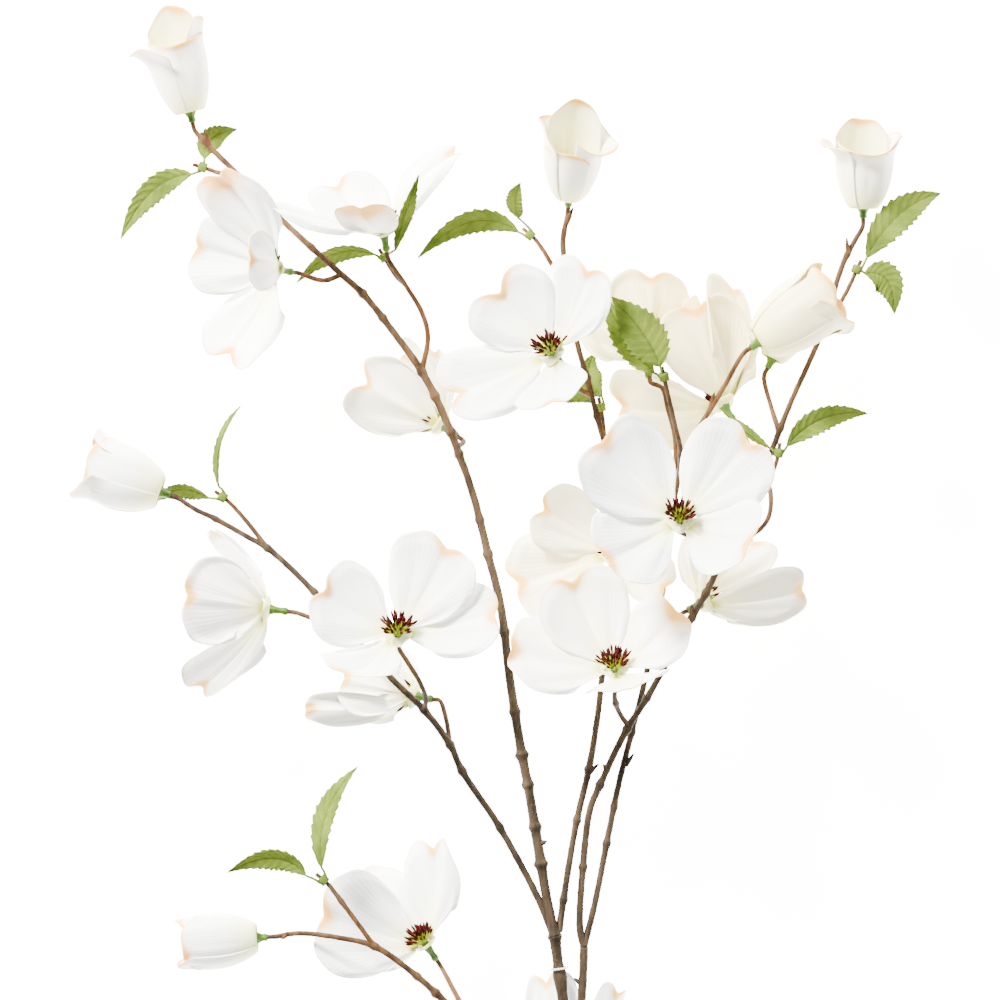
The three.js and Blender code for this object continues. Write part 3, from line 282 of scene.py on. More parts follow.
def turn_to(axis):
    """The rotation that takes +Z to axis the short way, as rows for points @ it.T."""
    return np.array(Vector((0, 0, 1)).rotation_difference(Vector(unit(axis))).to_matrix())


# ---- meshes ----
def make(name, parts, node, material):
    """One object from (points in mm, faces, {attribute: values}) parts, riding on the root."""
    points, faces, values, base = [], [], {}, 0
    for pts, fcs, attributes in parts:
        points.append(np.asarray(pts, float).reshape(-1, 3))
        faces += [tuple(int(i) + base for i in f) for f in fcs]
        for key, data in attributes.items():
            spread = np.broadcast_to(np.asarray(data, float).ravel(), len(points[-1]))
            values.setdefault(key, []).append(spread)
        base += len(points[-1])
    mesh = bpy.data.meshes.new(name)
    mesh.from_pydata(metres(np.vstack(points)).tolist(), [], faces)
    for key, data in values.items():
        attribute = mesh.attributes.new(key, "FLOAT", "POINT")
        attribute.data.foreach_set("value", np.concatenate(data).astype(np.float32))
    mesh.shade_smooth()
    mesh.materials.append(material)
    piece = bpy.data.objects.new(name, mesh)
    bpy.context.scene.collection.objects.link(piece)
    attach(piece, "root")
    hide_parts(node)


def grid_faces(rows, columns, base=0, closed=False):
    i, j = np.meshgrid(np.arange(rows - 1), np.arange(columns if closed else columns - 1), indexing="ij")
    a = (base + i * columns + j).ravel()
    b = (base + i * columns + (j + 1) % columns).ravel()
    return np.stack([a, b, b + columns, a + columns], 1).tolist()


def shell(grid, thickness, attributes):
    """A grid of points as a closed blade. It adds the attribute side, 1 on the front and 0 on the back."""
    rows, columns = grid.shape[:2]
    normal = unit(np.cross(np.gradient(grid, axis=1), np.gradient(grid, axis=0)) + 1e-12)
    front = grid + normal * thickness / 2
    back = grid - normal * thickness / 2
    half = rows * columns
    faces = grid_faces(rows, columns)
    faces += [[a, d, c, b] for a, b, c, d in grid_faces(rows, columns, half)]
    rim = list(range(columns)) + [i * columns + columns - 1 for i in range(1, rows)]
    rim += [(rows - 1) * columns + j for j in range(columns - 2, -1, -1)]
    rim += [i * columns for i in range(rows - 2, 0, -1)]
    faces += [[a, half + a, half + b, b] for a, b in zip(rim, rim[1:] + rim[:1])]
    both = {}
    for key, values in attributes.items():
        both[key] = np.tile(np.broadcast_to(values, (rows, columns)).ravel(), 2)
    both["side"] = np.concatenate([np.ones(half), np.zeros(half)])
    return np.vstack([front.reshape(-1, 3), back.reshape(-1, 3)]), faces, both


def spline(points, step):
    """Points and radii, step mm apart, on a centripetal Catmull-Rom line through (x, y, z, radius)."""
    p = np.array(points, float)
    xyz = np.vstack([2 * p[0, :3] - p[1, :3], p[:, :3], 2 * p[-1, :3] - p[-2, :3]])
    line, radius = [], []
    for i in range(len(p) - 1):
        p0, p1, p2, p3 = xyz[i:i + 4]
        d = [max(np.linalg.norm(b - a) ** 0.5, 1e-4) for a, b in ((p0, p1), (p1, p2), (p2, p3))]
        m1 = ((p1 - p0) / d[0] - (p2 - p0) / (d[0] + d[1]) + (p2 - p1) / d[1]) * d[1]
        m2 = ((p2 - p1) / d[1] - (p3 - p1) / (d[1] + d[2]) + (p3 - p2) / d[2]) * d[1]
        count = max(2, int(np.linalg.norm(p2 - p1) / step))
        for k in range(count + (i == len(p) - 2)):
            t = k / count
            line.append(p1 * (2 * t**3 - 3 * t**2 + 1) + m1 * (t**3 - 2 * t**2 + t)
                        + p2 * (3 * t**2 - 2 * t**3) + m2 * (t**3 - t**2))
            radius.append(p[i, 3] + (p[i + 1, 3] - p[i, 3]) * t)
    return np.array(line), np.array(radius)


def ring_noise(angles, size, height):
    """Noise round a circle of the given size, at a height that runs on along a stem."""
    return np.array([noise.noise(Vector((math.cos(a) * size, math.sin(a) * size, height))) for a in angles])


def tube(line, radius, sides, bark=0.0):
    """A closed tube round a line. With bark it has furrows, and swells at the node rings."""
    tangent = unit(np.gradient(line, axis=0))
    side = np.cross([0.0, 0.0, 1.0] if abs(tangent[0][2]) < 0.9 else [1.0, 0.0, 0.0], tangent[0])
    angle = np.arange(sides) * 2 * np.pi / sides
    rings, length = [], 0.0
    for i, (c, t, r) in enumerate(zip(line, tangent, radius)):
        side = unit(side - t * np.dot(side, t))
        up = np.cross(t, side)
        length += np.linalg.norm(c - line[i - 1]) if i else 0
        reach = np.full(sides, float(r))
        if bark:
            furrows = ring_noise(angle, 1.7, length * 0.14 + c[0])
            bumps = ring_noise(angle, 3, length * 0.9 + c[1])
            reach *= 1 + bark * (0.7 * furrows + 0.6 * bumps)
            for place, swell in RINGS:
                d = np.linalg.norm(c - np.array(place))
                if d < RING_REACH:
                    ridge = math.exp(-(d / RING_RIDGE) ** 2)
                    reach += r * swell * (ridge + 0.3 * math.exp(-(d / RING_FOOT) ** 2))
        rings.append(c + np.outer(reach * np.cos(angle), side) + np.outer(reach * np.sin(angle), up))
    points = np.vstack(rings + [line[:1], line[-1:]])
    n = len(line)
    faces = [[a, d, c, b] for a, b, c, d in grid_faces(n, sides, closed=True)]
    faces += [[n * sides, k, (k + 1) % sides] for k in range(sides)]
    faces += [[n * sides + 1, (n - 1) * sides + (k + 1) % sides, (n - 1) * sides + k] for k in range(sides)]
    faces = [f[::-1] for f in faces]
    along = np.concatenate([np.repeat(np.linspace(0, 1, n), sides), [0, 1]])
    return points, faces, {"along": along}


def revolve(profile, sides, flutes=0, depth=0.0):
    """A closed solid of revolution about +Z, with flutes as shallow waves round it."""
    angle = np.arange(sides) * 2 * np.pi / sides
    wave = 1 + depth * np.cos(flutes * angle)
    rings = [np.stack([r * wave * np.cos(angle), r * wave * np.sin(angle), np.full(sides, z)], 1)
             for r, z in profile]
    n = len(profile)
    points = np.vstack(rings + [[[0, 0, profile[0][1]]], [[0, 0, profile[-1][1]]]])
    faces = grid_faces(n, sides, closed=True)
    faces += [[n * sides, (k + 1) % sides, k] for k in range(sides)]
    faces += [[n * sides + 1, (n - 1) * sides + k, (n - 1) * sides + (k + 1) % sides] for k in range(sides)]
    high = [z for _, z in profile]
    along = np.concatenate([np.repeat((np.array(high) - high[0]) / (high[-1] - high[0]), sides), [0, 1]])
    return points, faces, {"along": along}


def moved(part, place, axis):
    """A part built on +Z, turned to axis and set at place."""
    points, faces, attributes = part
    return np.asarray(points) @ turn_to(axis).T + np.asarray(place, float), faces, attributes


# ---- materials ----
class Look:
    """A small node-tree builder round one Principled BSDF. Colours are linear (red, green, blue)."""

    def __init__(self, name, roughness, **values):
        self.material = bpy.data.materials.new(name)
        self.material.use_nodes = True
        self.tree = self.material.node_tree
        self.shader = self.tree.nodes["Principled BSDF"]
        self.shader.inputs["Roughness"].default_value = roughness
        for key, value in values.items():
            self.shader.inputs[key.replace("_", " ")].default_value = value

    def node(self, kind, **settings):
        node = self.tree.nodes.new(kind)
        for key, value in settings.items():
            setattr(node, key, value)
        return node

    def put(self, socket, value):
        if isinstance(value, bpy.types.NodeSocket):
            self.tree.links.new(value, socket)
        else:
            socket.default_value = value

    def attribute(self, name):
        return self.node("ShaderNodeAttribute", attribute_name=name).outputs["Fac"]

    def math(self, operation, a, b=0.0):
        node = self.node("ShaderNodeMath", operation=operation)
        self.put(node.inputs[0], a)
        self.put(node.inputs[1], b)
        return node.outputs[0]

    def ramp(self, value, start, end, to_start=0.0, to_end=1.0):
        node = self.node("ShaderNodeMapRange", interpolation_type="SMOOTHSTEP")
        for i, v in enumerate((value, start, end, to_start, to_end)):
            self.put(node.inputs[i], v)
        return node.outputs[0]

    def mix(self, factor, a, b, blend="MIX"):
        node = self.node("ShaderNodeMix", data_type="RGBA", blend_type=blend)
        self.put(node.inputs["Factor"], factor)
        self.put(node.inputs[6], a if isinstance(a, bpy.types.NodeSocket) else (*a, 1))
        self.put(node.inputs[7], b if isinstance(b, bpy.types.NodeSocket) else (*b, 1))
        return node.outputs[2]

    def noise(self, scale, detail=3.0, stretch=(1, 1, 1)):
        where = self.node("ShaderNodeTexCoord").outputs["Object"]
        mapping = self.node("ShaderNodeMapping")
        self.put(mapping.inputs["Vector"], where)
        mapping.inputs["Scale"].default_value = stretch
        node = self.node("ShaderNodeTexNoise")
        self.put(node.inputs["Vector"], mapping.outputs[0])
        node.inputs["Scale"].default_value = scale
        node.inputs["Detail"].default_value = detail
        return node.outputs["Fac"]

    def waves(self, u, count, wobble):
        """Lines across u, count of them over a unit of u, that wander by wobble."""
        shift = self.math("MULTIPLY", self.math("SUBTRACT", self.noise(60, 2), 0.5), wobble)
        return self.math("SINE", self.math("MULTIPLY", self.math("ADD", u, shift), count * 2 * math.pi))

    def bump(self, height, strength, distance):
        node = self.node("ShaderNodeBump")
        node.inputs["Strength"].default_value = strength
        node.inputs["Distance"].default_value = distance
        self.put(node.inputs["Height"], height)
        self.put(self.shader.inputs["Normal"], node.outputs[0])

    def painted_upright_shade(self, value, low):
        """Paints shade on the faces that stand upright: it darkens them down to a share of low."""
        normal = self.node("ShaderNodeNewGeometry").outputs["Normal"]
        split = self.node("ShaderNodeSeparateXYZ")
        self.put(split.inputs[0], normal)
        share = self.ramp(self.math("ABSOLUTE", split.outputs["Z"]), 0.0, 0.8, low, 1.0)
        return self.mix(1.0, value, self.grey(share), "MULTIPLY")

    def grey(self, value):
        node = self.node("ShaderNodeCombineColor")
        for socket in node.inputs:
            self.put(socket, value)
        return node.outputs[0]

    def colour(self, value):
        self.put(self.shader.inputs["Base Color"], value)
        return self.material


# Veins over half a petal's width, and how far they wander as a share of it.
VEINS, VEIN_WOBBLE = 14, 0.02
# Ribs along a leaf, and how far each one runs toward the tip by the leaf's edge.
RIBS, RIB_SLANT = 9, 0.16


def petal_look():
    look = Look("petal", 0.6, Specular_IOR_Level=0.3)
    u, v = look.attribute("u"), look.attribute("v")
    white = look.mix(look.attribute("warm"), (0.86, 0.87, 0.87), (0.80, 0.70, 0.37))
    mottled = look.mix(look.ramp(look.noise(90), 0.35, 0.7, 0, 0.15), white, (0.83, 0.82, 0.78))
    fine = look.waves(u, VEINS, VEIN_WOBBLE)
    veins = look.mix(look.math("MULTIPLY", look.ramp(fine, 0.4, 1), 0.1), mottled, (0.66, 0.67, 0.62))
    ivory = look.mix(look.ramp(v, 0.55, 0.08, 0, 0.75), veins, (0.80, 0.79, 0.30))
    foot = look.mix(look.ramp(v, 0.19, 0.07, 0, 0.95), ivory, (0.40, 0.41, 0.006))
    edge = look.mix(look.math("MULTIPLY", look.attribute("blush"), 0.95), foot, (0.77, 0.38, 0.035))
    look.bump(look.math("ADD", look.math("MULTIPLY", fine, 0.5), look.noise(350, 2)), 0.22, 0.0003)
    return look.colour(edge)


def green_look(name, dark, light, roughness=0.45):
    look = Look(name, roughness, Specular_IOR_Level=0.1)
    base = look.mix(look.ramp(look.noise(160), 0.3, 0.7), dark, light)
    top = look.mix(look.ramp(look.attribute("along"), 0.5, 1.0), base, light)
    look.bump(look.noise(700, 2), 0.2, 0.0003)
    return look.colour(top)


def leaf_look():
    look = Look("leaf", 0.65, Specular_IOR_Level=0.0)
    t, s = look.attribute("t"), look.attribute("s")
    base = look.mix(look.ramp(look.noise(70), 0.3, 0.7), (0.056, 0.085, 0.0115), (0.112, 0.149, 0.019))
    near = look.ramp(look.math("ABSOLUTE", t), 0.1, 0.0)
    slant = look.math("SUBTRACT", s, look.math("MULTIPLY", look.math("ABSOLUTE", t), RIB_SLANT))
    ribs = look.math("SINE", look.math("MULTIPLY", slant, 2 * math.pi * RIBS))
    veined = look.mix(look.ramp(ribs, 0.7, 1, 0, 0.28), base, (0.034, 0.054, 0.01))
    midrib = look.mix(look.math("MULTIPLY", near, 0.6), veined, (0.032, 0.049, 0.009))
    backside = look.ramp(look.attribute("side"), 1, 0, 0, 0.25)
    pale = look.mix(backside, midrib, (0.155, 0.195, 0.045))
    look.bump(look.math("ADD", look.math("MULTIPLY", ribs, 0.7), look.noise(500, 3)), 0.2, 0.0004)
    # Painted shade: the leaf's faces that stand upright are darkened, down to 0.14 of their colour.
    return look.colour(look.painted_upright_shade(pale, 0.14))


def bark_look():
    look = Look("bark", 0.5, Specular_IOR_Level=0.03)
    grain = look.noise(240, 5, (1, 0.2, 1))
    young = look.mix(look.ramp(grain, 0.3, 0.75), (0.036, 0.0155, 0.0055), (0.112, 0.051, 0.018))
    old = look.mix(look.ramp(grain, 0.3, 0.75), (0.016, 0.0112, 0.0073), (0.051, 0.0335, 0.0188))
    aged = look.mix(look.attribute("age"), young, old)
    # Lighter specks: partly the bark's own flecks, partly a painted highlight along the stems.
    specks_and_highlight = look.mix(look.ramp(look.noise(520, 2), 0.62, 0.72, 0, 0.5), aged, (0.06, 0.04, 0.018))
    look.bump(look.math("ADD", grain, look.math("MULTIPLY", look.noise(620, 3), 0.5)), 0.6, 0.0006)
    # Painted shade: the stems' upright sides are darkened, down to half their colour.
    return look.colour(look.painted_upright_shade(specks_and_highlight, 0.5))


def stamen_look():
    look = Look("stamen", 0.6, Specular_IOR_Level=0.03)
    t = look.attribute("along")
    stalk = look.mix(look.noise(800, 1), (0.16, 0.23, 0.003), (0.32, 0.38, 0.006))
    blotch = look.ramp(look.noise(1500, 2), 0.35, 0.65)
    tip = look.mix(blotch, (0.010, 0.0012, 0.0012), (0.05, 0.005, 0.0045))
    look.bump(look.noise(1800, 2), 0.5, 0.0002)
    return look.colour(look.mix(look.ramp(t, 0.46, 0.62), stalk, tip))


def thread_look():
    look = Look("thread", 0.8)
    look.bump(look.noise(2500, 2), 0.5, 0.0002)
    plies = look.ramp(look.noise(1200, 2), 0.3, 0.7)
    return look.colour(look.mix(plies, (0.62, 0.62, 0.62), (0.85, 0.85, 0.85)))


PETAL = petal_look()
COLLAR = green_look("collar", (0.022, 0.06, 0.005), (0.056, 0.112, 0.01))
LEAF = leaf_look()
BARK = bark_look()
STAMEN = stamen_look()
THREAD = thread_look()

# ---- blooms ----
PETAL_COLUMNS, PETAL_ROWS = 49, 34
# Half the angle that a petal's grid fans over, and how much its corners are rounded off.
FAN, SHOULDER = math.radians(48), 0.55
# Depth of a usual notch as a share of the length, and the notch's and the pinch's half widths.
NOTCH, NOTCH_WIDTH, PINCH_WIDTH = 0.09, 0.17, 0.15
# Distance of a petal's foot from the bloom's centre, and its thickness, in mm.
PETAL_FOOT, PETAL_SKIN = 2.5, 0.4
# Shares of a petal's length: domed halves, the valley between them, broad and fine folds, the margin's
# wave, the roll of the rim and the pinch at the notch.
DOME, VALLEY, FOLD, FINE_FOLD, RIM_WAVE, RIM_ROLL, PINCH = 0.03, 0.022, 0.015, 0.0035, 0.03, 0.05, 0.05
# Deeper notches and longer lobes of single petals: depth of the notch, and skew to the left or right lobe.
SHAPES = {("bloom_04", 0): (0.2, 0.03), ("bloom_04", 1): (0.12, -0.05), ("bloom_04", 2): (0.17, 0.0),
          ("bloom_04", 3): (0.17, 0.1), ("bloom_03", 0): (0.18, 0.04), ("bloom_01", 2): (0.13, 0.05),
          ("bloom_06", 0): (0.13, 0.0), ("bloom_07", 1): (0.12, -0.04), ("bloom_08", 0): (0.14, 0.0),
          ("bloom_10", 0): (0.13, 0.0), ("bloom_13", 0): (0.15, 0.0), ("bloom_05", 0): (0.09, 0.0),
          ("bloom_05", 2): (0.08, -0.03), ("bloom_05", 3): (0.08, 0.08), ("bloom_14", 1): (0.12, 0.0)}
# Petals with a blush that spreads wider than on the rest.
BLUSHES = {("bloom_02", 3): 3.2, ("bloom_01", 0): 2.0, ("bloom_04", 0): 1.4, ("bloom_06", 1): 1.5}
COLLAR_LENGTH = 10
COLLAR_SIDES, COLLAR_FLUTES = 36, 6
STAMENS, STAMEN_SIDES = 44, 7
# Lean of the outermost stamens in radians, their heights, and the radius and height of their disc in mm.
TUFT_LEAN, STAMEN_HEIGHTS, DISC_RADIUS, DISC_HEIGHT = 0.95, (6.2, 10), 2.0, 1.9
# Radii along a stamen in mm, from its foot past the anther to its tip.
STAMEN_RADII = np.array([0.4, 0.36, 0.33, 0.3, 0.4, 0.62, 0.64, 0.25])
# The golden angle in radians, which spreads the stamens evenly over the disc.
GOLDEN_TURN = 2.39996
# Outlines as (radius, height), in mm from a bloom's centre.
HEART_PROFILE = [(1.3, -COLLAR_LENGTH - 0.3), (1.9, -9.4), (2.0, -8.2), (1.6, -7.2), (1.7, -5), (2.1, -3),
                 (2.7, -1.4), (2.6, -0.7), (1.9, 0), (1.9, 1), (2.5, 1.7), (2.2, 2.5), (1.2, 3), (0.2, 3.1)]
THROAT_PROFILE = [(1.8, -1.5), (3.6, -1.1), (5.4, -0.2), (6.6, 1.0), (6.5, 1.3), (5.0, 0.5), (3.2, 0.1),
                  (1.8, 0.0)]


def petal(centre, axis, warm, row, notch_depth, skew, spread):
    """A notched blade from the bloom's centre to the tip of row. Its blush is spread times as wide."""
    x, y, z, width, bow, cup, roll = row
    centre, tip = np.array(centre, float), np.array([x, y, z], float)
    outward = tip - centre
    outward = unit(outward - axis * outward.dot(axis))
    foot = centre + outward * PETAL_FOOT
    length = np.linalg.norm(tip - foot) / (1 - NOTCH / 2)
    lengthwise = unit(tip - foot)
    normal = unit(axis - lengthwise * axis.dot(lengthwise))
    normal = np.array(Matrix.Rotation(math.radians(roll), 3, Vector(lengthwise)) @ Vector(normal))
    sideways = np.cross(lengthwise, normal)
    u, v = np.meshgrid(np.linspace(-1, 1, PETAL_COLUMNS), np.linspace(0.03, 1, PETAL_ROWS))
    phase = rng.uniform(0, 2 * np.pi, 4)
    lean = rng.uniform(-0.05, 0.05)
    shoulder = SHOULDER * np.abs(u) ** 3
    notch = notch_depth * np.exp(-(np.abs((u - lean) / NOTCH_WIDTH) ** 1.5)) * smooth(v, 0.45, 1)
    wavy = 0.012 * np.sin(9 * u + phase[0]) + 0.008 * np.sin(17 * u + phase[1]) + skew * u
    reach = length * v * (1 - shoulder) * (1 - notch) * (1 + wavy * v**2)
    run = reach * np.cos(FAN * u)
    off = reach * np.sin(FAN * u) * width
    q, w = run / length, off / (0.5 * length)
    lift = length * (-4 * bow * q * (1 - q) + cup * w * w * (0.3 + 0.7 * q))
    # A valley down the middle between two domed halves, lengthwise folds, a waved margin that rolls
    # back at its rim, and the pinch at the notch.
    open_out = smooth(v, 0.08, 0.55)
    lift += length * DOME * np.sin(np.pi * np.clip(np.abs(u), 0, 1)) ** 1.5 * open_out
    lift -= length * VALLEY * np.exp(-(u / 0.08) ** 2) * open_out
    lift += length * FOLD * np.cos(u * 10 + phase[2]) * open_out * (1 - 0.4 * v)
    lift += length * FINE_FOLD * np.cos(u * 26 + phase[1]) * open_out * (1 - 0.8 * v)
    lift += length * RIM_WAVE * np.sin(4.5 * v + phase[3] + 2 * u) * np.abs(u) ** 2.5 * v
    lift -= length * RIM_ROLL * smooth(v, 0.86, 1.0) * (0.4 + 0.6 * np.sin(3 * u + phase[0]) ** 2)
    lift += length * PINCH * np.exp(-((u - lean) / PINCH_WIDTH) ** 2) * smooth(v, 0.84, 1)
    grid = foot + run[..., None] * lengthwise + off[..., None] * sideways + lift[..., None] * normal
    blush = 1.8 * np.exp(-((u - lean) / (0.18 * spread)) ** 2) * smooth(v, 1 - 0.22 * spread, 1.0) ** 1.6
    blush += 0.38 * smooth(v, 0.95, 1.0) * smooth(np.sin(5 * u + phase[0]), 0.1, 0.9) * (np.abs(u) < 0.8)
    tint = {"u": u + 2 * phase[1], "v": v, "blush": np.clip(blush, 0, 1), "warm": warm}
    return shell(grid, PETAL_SKIN, tint)


def heart(place, axis):
    """Collar with flutes, a disc, and a tuft of stamens."""
    collar = revolve(HEART_PROFILE, COLLAR_SIDES, COLLAR_FLUTES, 0.07)
    tuft = []
    for k in range(STAMENS):
        ring = ((k + 0.5) / STAMENS) ** 0.5
        turn = k * GOLDEN_TURN + rng.uniform(-0.2, 0.2)
        lean = ring * TUFT_LEAN + rng.uniform(-0.12, 0.12)
        tall = rng.uniform(*STAMEN_HEIGHTS)
        root = np.array([math.cos(turn), math.sin(turn), 0]) * (0.3 + DISC_RADIUS * ring)
        root += [0, 0, DISC_HEIGHT]
        way = np.array([math.sin(lean) * math.cos(turn), math.sin(lean) * math.sin(turn), math.cos(lean)])
        t = np.linspace(0, 1, len(STAMEN_RADII))
        line = root + np.outer(t * tall, way) + np.outer(t**2 * 0.7, [0, 0, 1])
        tuft.append(tube(line, STAMEN_RADII, STAMEN_SIDES))
    raised = unit(axis + np.array([0, 0.5, 0]) * (axis[2] > 0.5))
    collar = moved(collar, place, axis)
    return collar, [moved(part, place, raised) for part in tuft]


def throat(place, axis, warm):
    """The shallow cup that the four petals' feet join in."""
    points, faces, attributes = moved(revolve(THROAT_PROFILE, 48, 4, 0.1), place, axis)
    return points, faces, {"u": attributes["along"], "v": 0.15, "blush": 0, "warm": warm, "side": 1}


for name, place, facing, rows in BLOOMS:
    axis = unit(facing)
    warm = WARM.get(name, 0.1)
    shapes = [SHAPES.get((name, k), (rng.uniform(0.07, 0.13), rng.uniform(-0.03, 0.03))) for k in range(4)]
    parts = []
    for k, row in enumerate(rows):
        parts.append(petal(place, axis, warm, row, *shapes[k], BLUSHES.get((name, k), 1.0)))
    make(f"{name}_petals", [*parts, throat(place, axis, warm)], name, PETAL)
    collar, tuft = heart(place, axis)
    make(f"{name}_collar", [collar], f"{name}_heart", COLLAR)
    make(f"{name}_stamens", tuft, f"{name}_heart", STAMEN)


# ---- buds ----
def outline(h):
    """Radius of a bud at the share h of its height, as a share of its full radius."""
    return 0.36 + 0.64 * np.sin(np.pi * np.minimum(h * 0.9 + 0.02, 1)) ** 0.62


BUD_COLUMNS, BUD_ROWS = 37, 38
# Half the angle that one petal wraps round its bud.
WRAP = math.radians(66)
# Rise of a petal's rim to its corners, as a share of its height. Most rims fall to their corners.
FALL = -0.2
# How far a petal's side stands out over its neighbour, and the height of its folds low down, in mm.
OVERLAP, BUD_FOLD = 0.42, 0.2
# Depth of the seam down a petal's middle, and the wave of its sides, in mm.
SEAM, SIDE_WAVE = 0.3, 0.5
# How deep the lip curls down: a part for its flare and a part for every lip, as shares of the radius.
CURL, LEAST_CURL = 0.42, 0.04
# Share of the inside's tint, which makes it greener and darker than the outside: partly the petals' greener
# inner face, partly painted shade in the bud's cup.
INSIDE_TINT_AND_SHADE = 0.36
CORE_SIDES = 24
RIMS = {("bud_01", 3): 0.1, ("bud_02", 2): 0.12, ("bud_03", 3): 0.16}
CALYX_LENGTH = 5
# Outline of a bud's collar, as (radius, height) in mm from the bud's foot.
CALYX_PROFILE = [(1.4, -5.3), (2.0, -4.6), (1.8, -3.6), (1.9, -2.4), (2.6, -1), (3.4, 0.1), (3.6, 0.9),
                 (0.5, 1.0)]


def bud_petal(height, radius, tip, warm, rise):
    """One of the petals wrapped round a bud: it starts at the foot and ends in a flared lip."""
    turn, flare, tall = tip
    u, v = np.meshgrid(np.linspace(-1, 1, BUD_COLUMNS), np.linspace(0.0, 1, BUD_ROWS))
    phase = rng.uniform(0, 2 * np.pi, 3)
    top = tall * (1 + rise * np.abs(u) ** 2.6 + (0.012 + 0.03 * flare) * np.sin(5 * u + phase[0]))
    share = v * top
    around = math.radians(turn) + u * WRAP
    lip = flare * smooth(v, 0.6, 0.98) ** 1.6 * (1 - 0.4 * u**2) * (1 + 0.2 * np.cos(4 * u + phase[2]))
    lip += 0.05 * smooth(v, 0.85, 1.0)
    reach = radius * (outline(share) + lip)
    reach += OVERLAP * u + BUD_FOLD * np.cos(u * 9 + phase[1]) * smooth(v, 0.1, 0.6)
    reach -= SEAM * np.exp(-(u / 0.1) ** 2) * smooth(v, 0.1, 0.4) * smooth(v, 1.0, 0.7)
    reach += SIDE_WAVE * np.sin(4 * v + phase[2]) * u**2 * v
    drop = (CURL * flare + LEAST_CURL) * radius * smooth(v, 0.88, 1.0) * (1 - 0.35 * u**2)
    grid = np.stack([reach * np.cos(around), reach * np.sin(around), height * share - drop], -1)
    side = rng.uniform(-0.4, 0.4)
    blush = 0.85 * smooth(v, 0.93, 1.0)
    blush += 1.6 * smooth(v, 0.8, 1.0) ** 1.3 * np.exp(-((u - side) / 0.38) ** 2)
    tint = {"u": u + 2 * phase[1], "v": 0.12 + 0.88 * v, "blush": np.clip(blush, 0, 1), "warm": warm}
    points, faces, attributes = shell(grid, PETAL_SKIN, tint)
    # The petals' inner faces are tinted greener and darker, partly their own colour and partly painted
    # shade in the cup.
    attributes["v"] = attributes["v"] * np.where(attributes["side"] > 0.5, 1, INSIDE_TINT_AND_SHADE)
    return points, faces, attributes


for name, place, top, radius, tips in BUDS:
    axis = unit(np.array(top, float) - place)
    height = float(np.linalg.norm(np.array(top, float) - place))
    warm = WARM.get(name, 0.2)
    parts = [bud_petal(height, radius, tip, warm, RIMS.get((name, k), FALL)) for k, tip in enumerate(tips)]
    # A pale core fills the foot of the bud, so that its cup has a bottom.
    rise = np.linspace(0.02, 0.42, 12)
    core = 0.8 * radius * outline(rise) * np.cos(rise * 3.4) ** 0.5 + 0.2
    points, faces, attributes = revolve(list(zip(core, rise * height)), CORE_SIDES, 4, 0.08)
    extra = {"u": attributes["along"], "v": 0.14, "blush": 0, "warm": warm, "side": 1}
    parts.append((points, faces, extra))
    make(f"{name}_petals", [moved(part, place, axis) for part in parts], name, PETAL)
    calyx = moved(revolve(CALYX_PROFILE, COLLAR_SIDES, COLLAR_FLUTES, 0.06), place, axis)
    make(f"{name}_calyx", [calyx], f"{name}_collar", COLLAR)

# ---- leaves ----
SLEEVE_ROOT = 1.95
LEAF_SKIN = 0.4
LEAF_COLUMNS = 17
TEETH = 12
# Shares of a blade's half width: the lift of its edge and the wave of its margin. In mm: ribs and midrib.
EDGE_LIFT, MARGIN_WAVE, RIB_HEIGHT, MIDRIB_DEPTH = 0.16, 0.06, 0.175, 0.35
PETIOLE_SIDES, PETIOLE_STEP = 10, 0.6
CLASP_PROFILE = [(2.0, -2.2), (2.5, -1.6), (2.4, 0), (2.6, 1.2), (2.2, 2.1)]


def bent(foot, bend, tip, k):
    """Points at the shares k along the curve from foot to tip that bend pulls aside."""
    k = np.asarray(k)[..., None]
    return (1 - k) ** 2 * foot + 2 * k * (1 - k) * bend + k**2 * tip


def leaf(root, row):
    """A toothed blade with ribs and its petiole, from the sleeve's wall at root."""
    foot, bend, tip, width, faces_way = row
    foot, bend, tip = (np.array(p, float) for p in (foot, bend, tip))
    n = TEETH * 5 + 1
    s = np.linspace(0, 1, n)[:, None]
    t = np.linspace(-1, 1, LEAF_COLUMNS)[None, :]
    tooth = (s * TEETH) % 1
    half = 0.5 * width * np.sin(np.pi * s**0.74)
    reach = half * (0.86 + 0.24 * tooth**1.4 * smooth(s, 0.04, 0.16) * smooth(s, 1.0, 0.86)) + 0.25
    lead = s + 0.05 * np.abs(t) ** 6 * np.sin(np.pi * s)
    line = bent(foot, bend, tip, np.clip(lead, 0, 1))
    k = np.clip(s, 0.001, 0.999)
    tangent = unit((1 - k) * (bend - foot) + k * (tip - bend))
    sideways = unit(np.cross(tangent, unit(faces_way)))
    normal = np.cross(sideways, tangent)
    across = t * reach
    phase = rng.uniform(0, 6.28)
    lift = EDGE_LIFT * reach * np.abs(t) ** 1.3
    lift = lift + RIB_HEIGHT * np.cos((s - RIB_SLANT * np.abs(t)) * 2 * np.pi * RIBS) * np.abs(t)
    lift = lift + MARGIN_WAVE * reach * np.sin(9 * s + phase + 1.5 * t) * np.abs(t) ** 2
    lift = lift - MIDRIB_DEPTH * np.exp(-(t / 0.07) ** 2)
    grid = line + across[..., None] * sideways[:, None, :] + lift[..., None] * normal[:, None, :]
    blade = shell(grid, LEAF_SKIN, {"t": t, "s": s})
    middle = (root + foot) / 2 + 0.2
    inside = bent(foot, bend, tip, 0.06)
    petiole = [[*root, 0.8], [*middle, 0.65], [*foot, 0.6], [*inside, 0.45]]
    points, faces, attributes = tube(*spline(petiole, PETIOLE_STEP), PETIOLE_SIDES)
    return [blade, (points, faces, {"t": 0.3, "s": attributes["along"] * 0.1, "side": 1})]


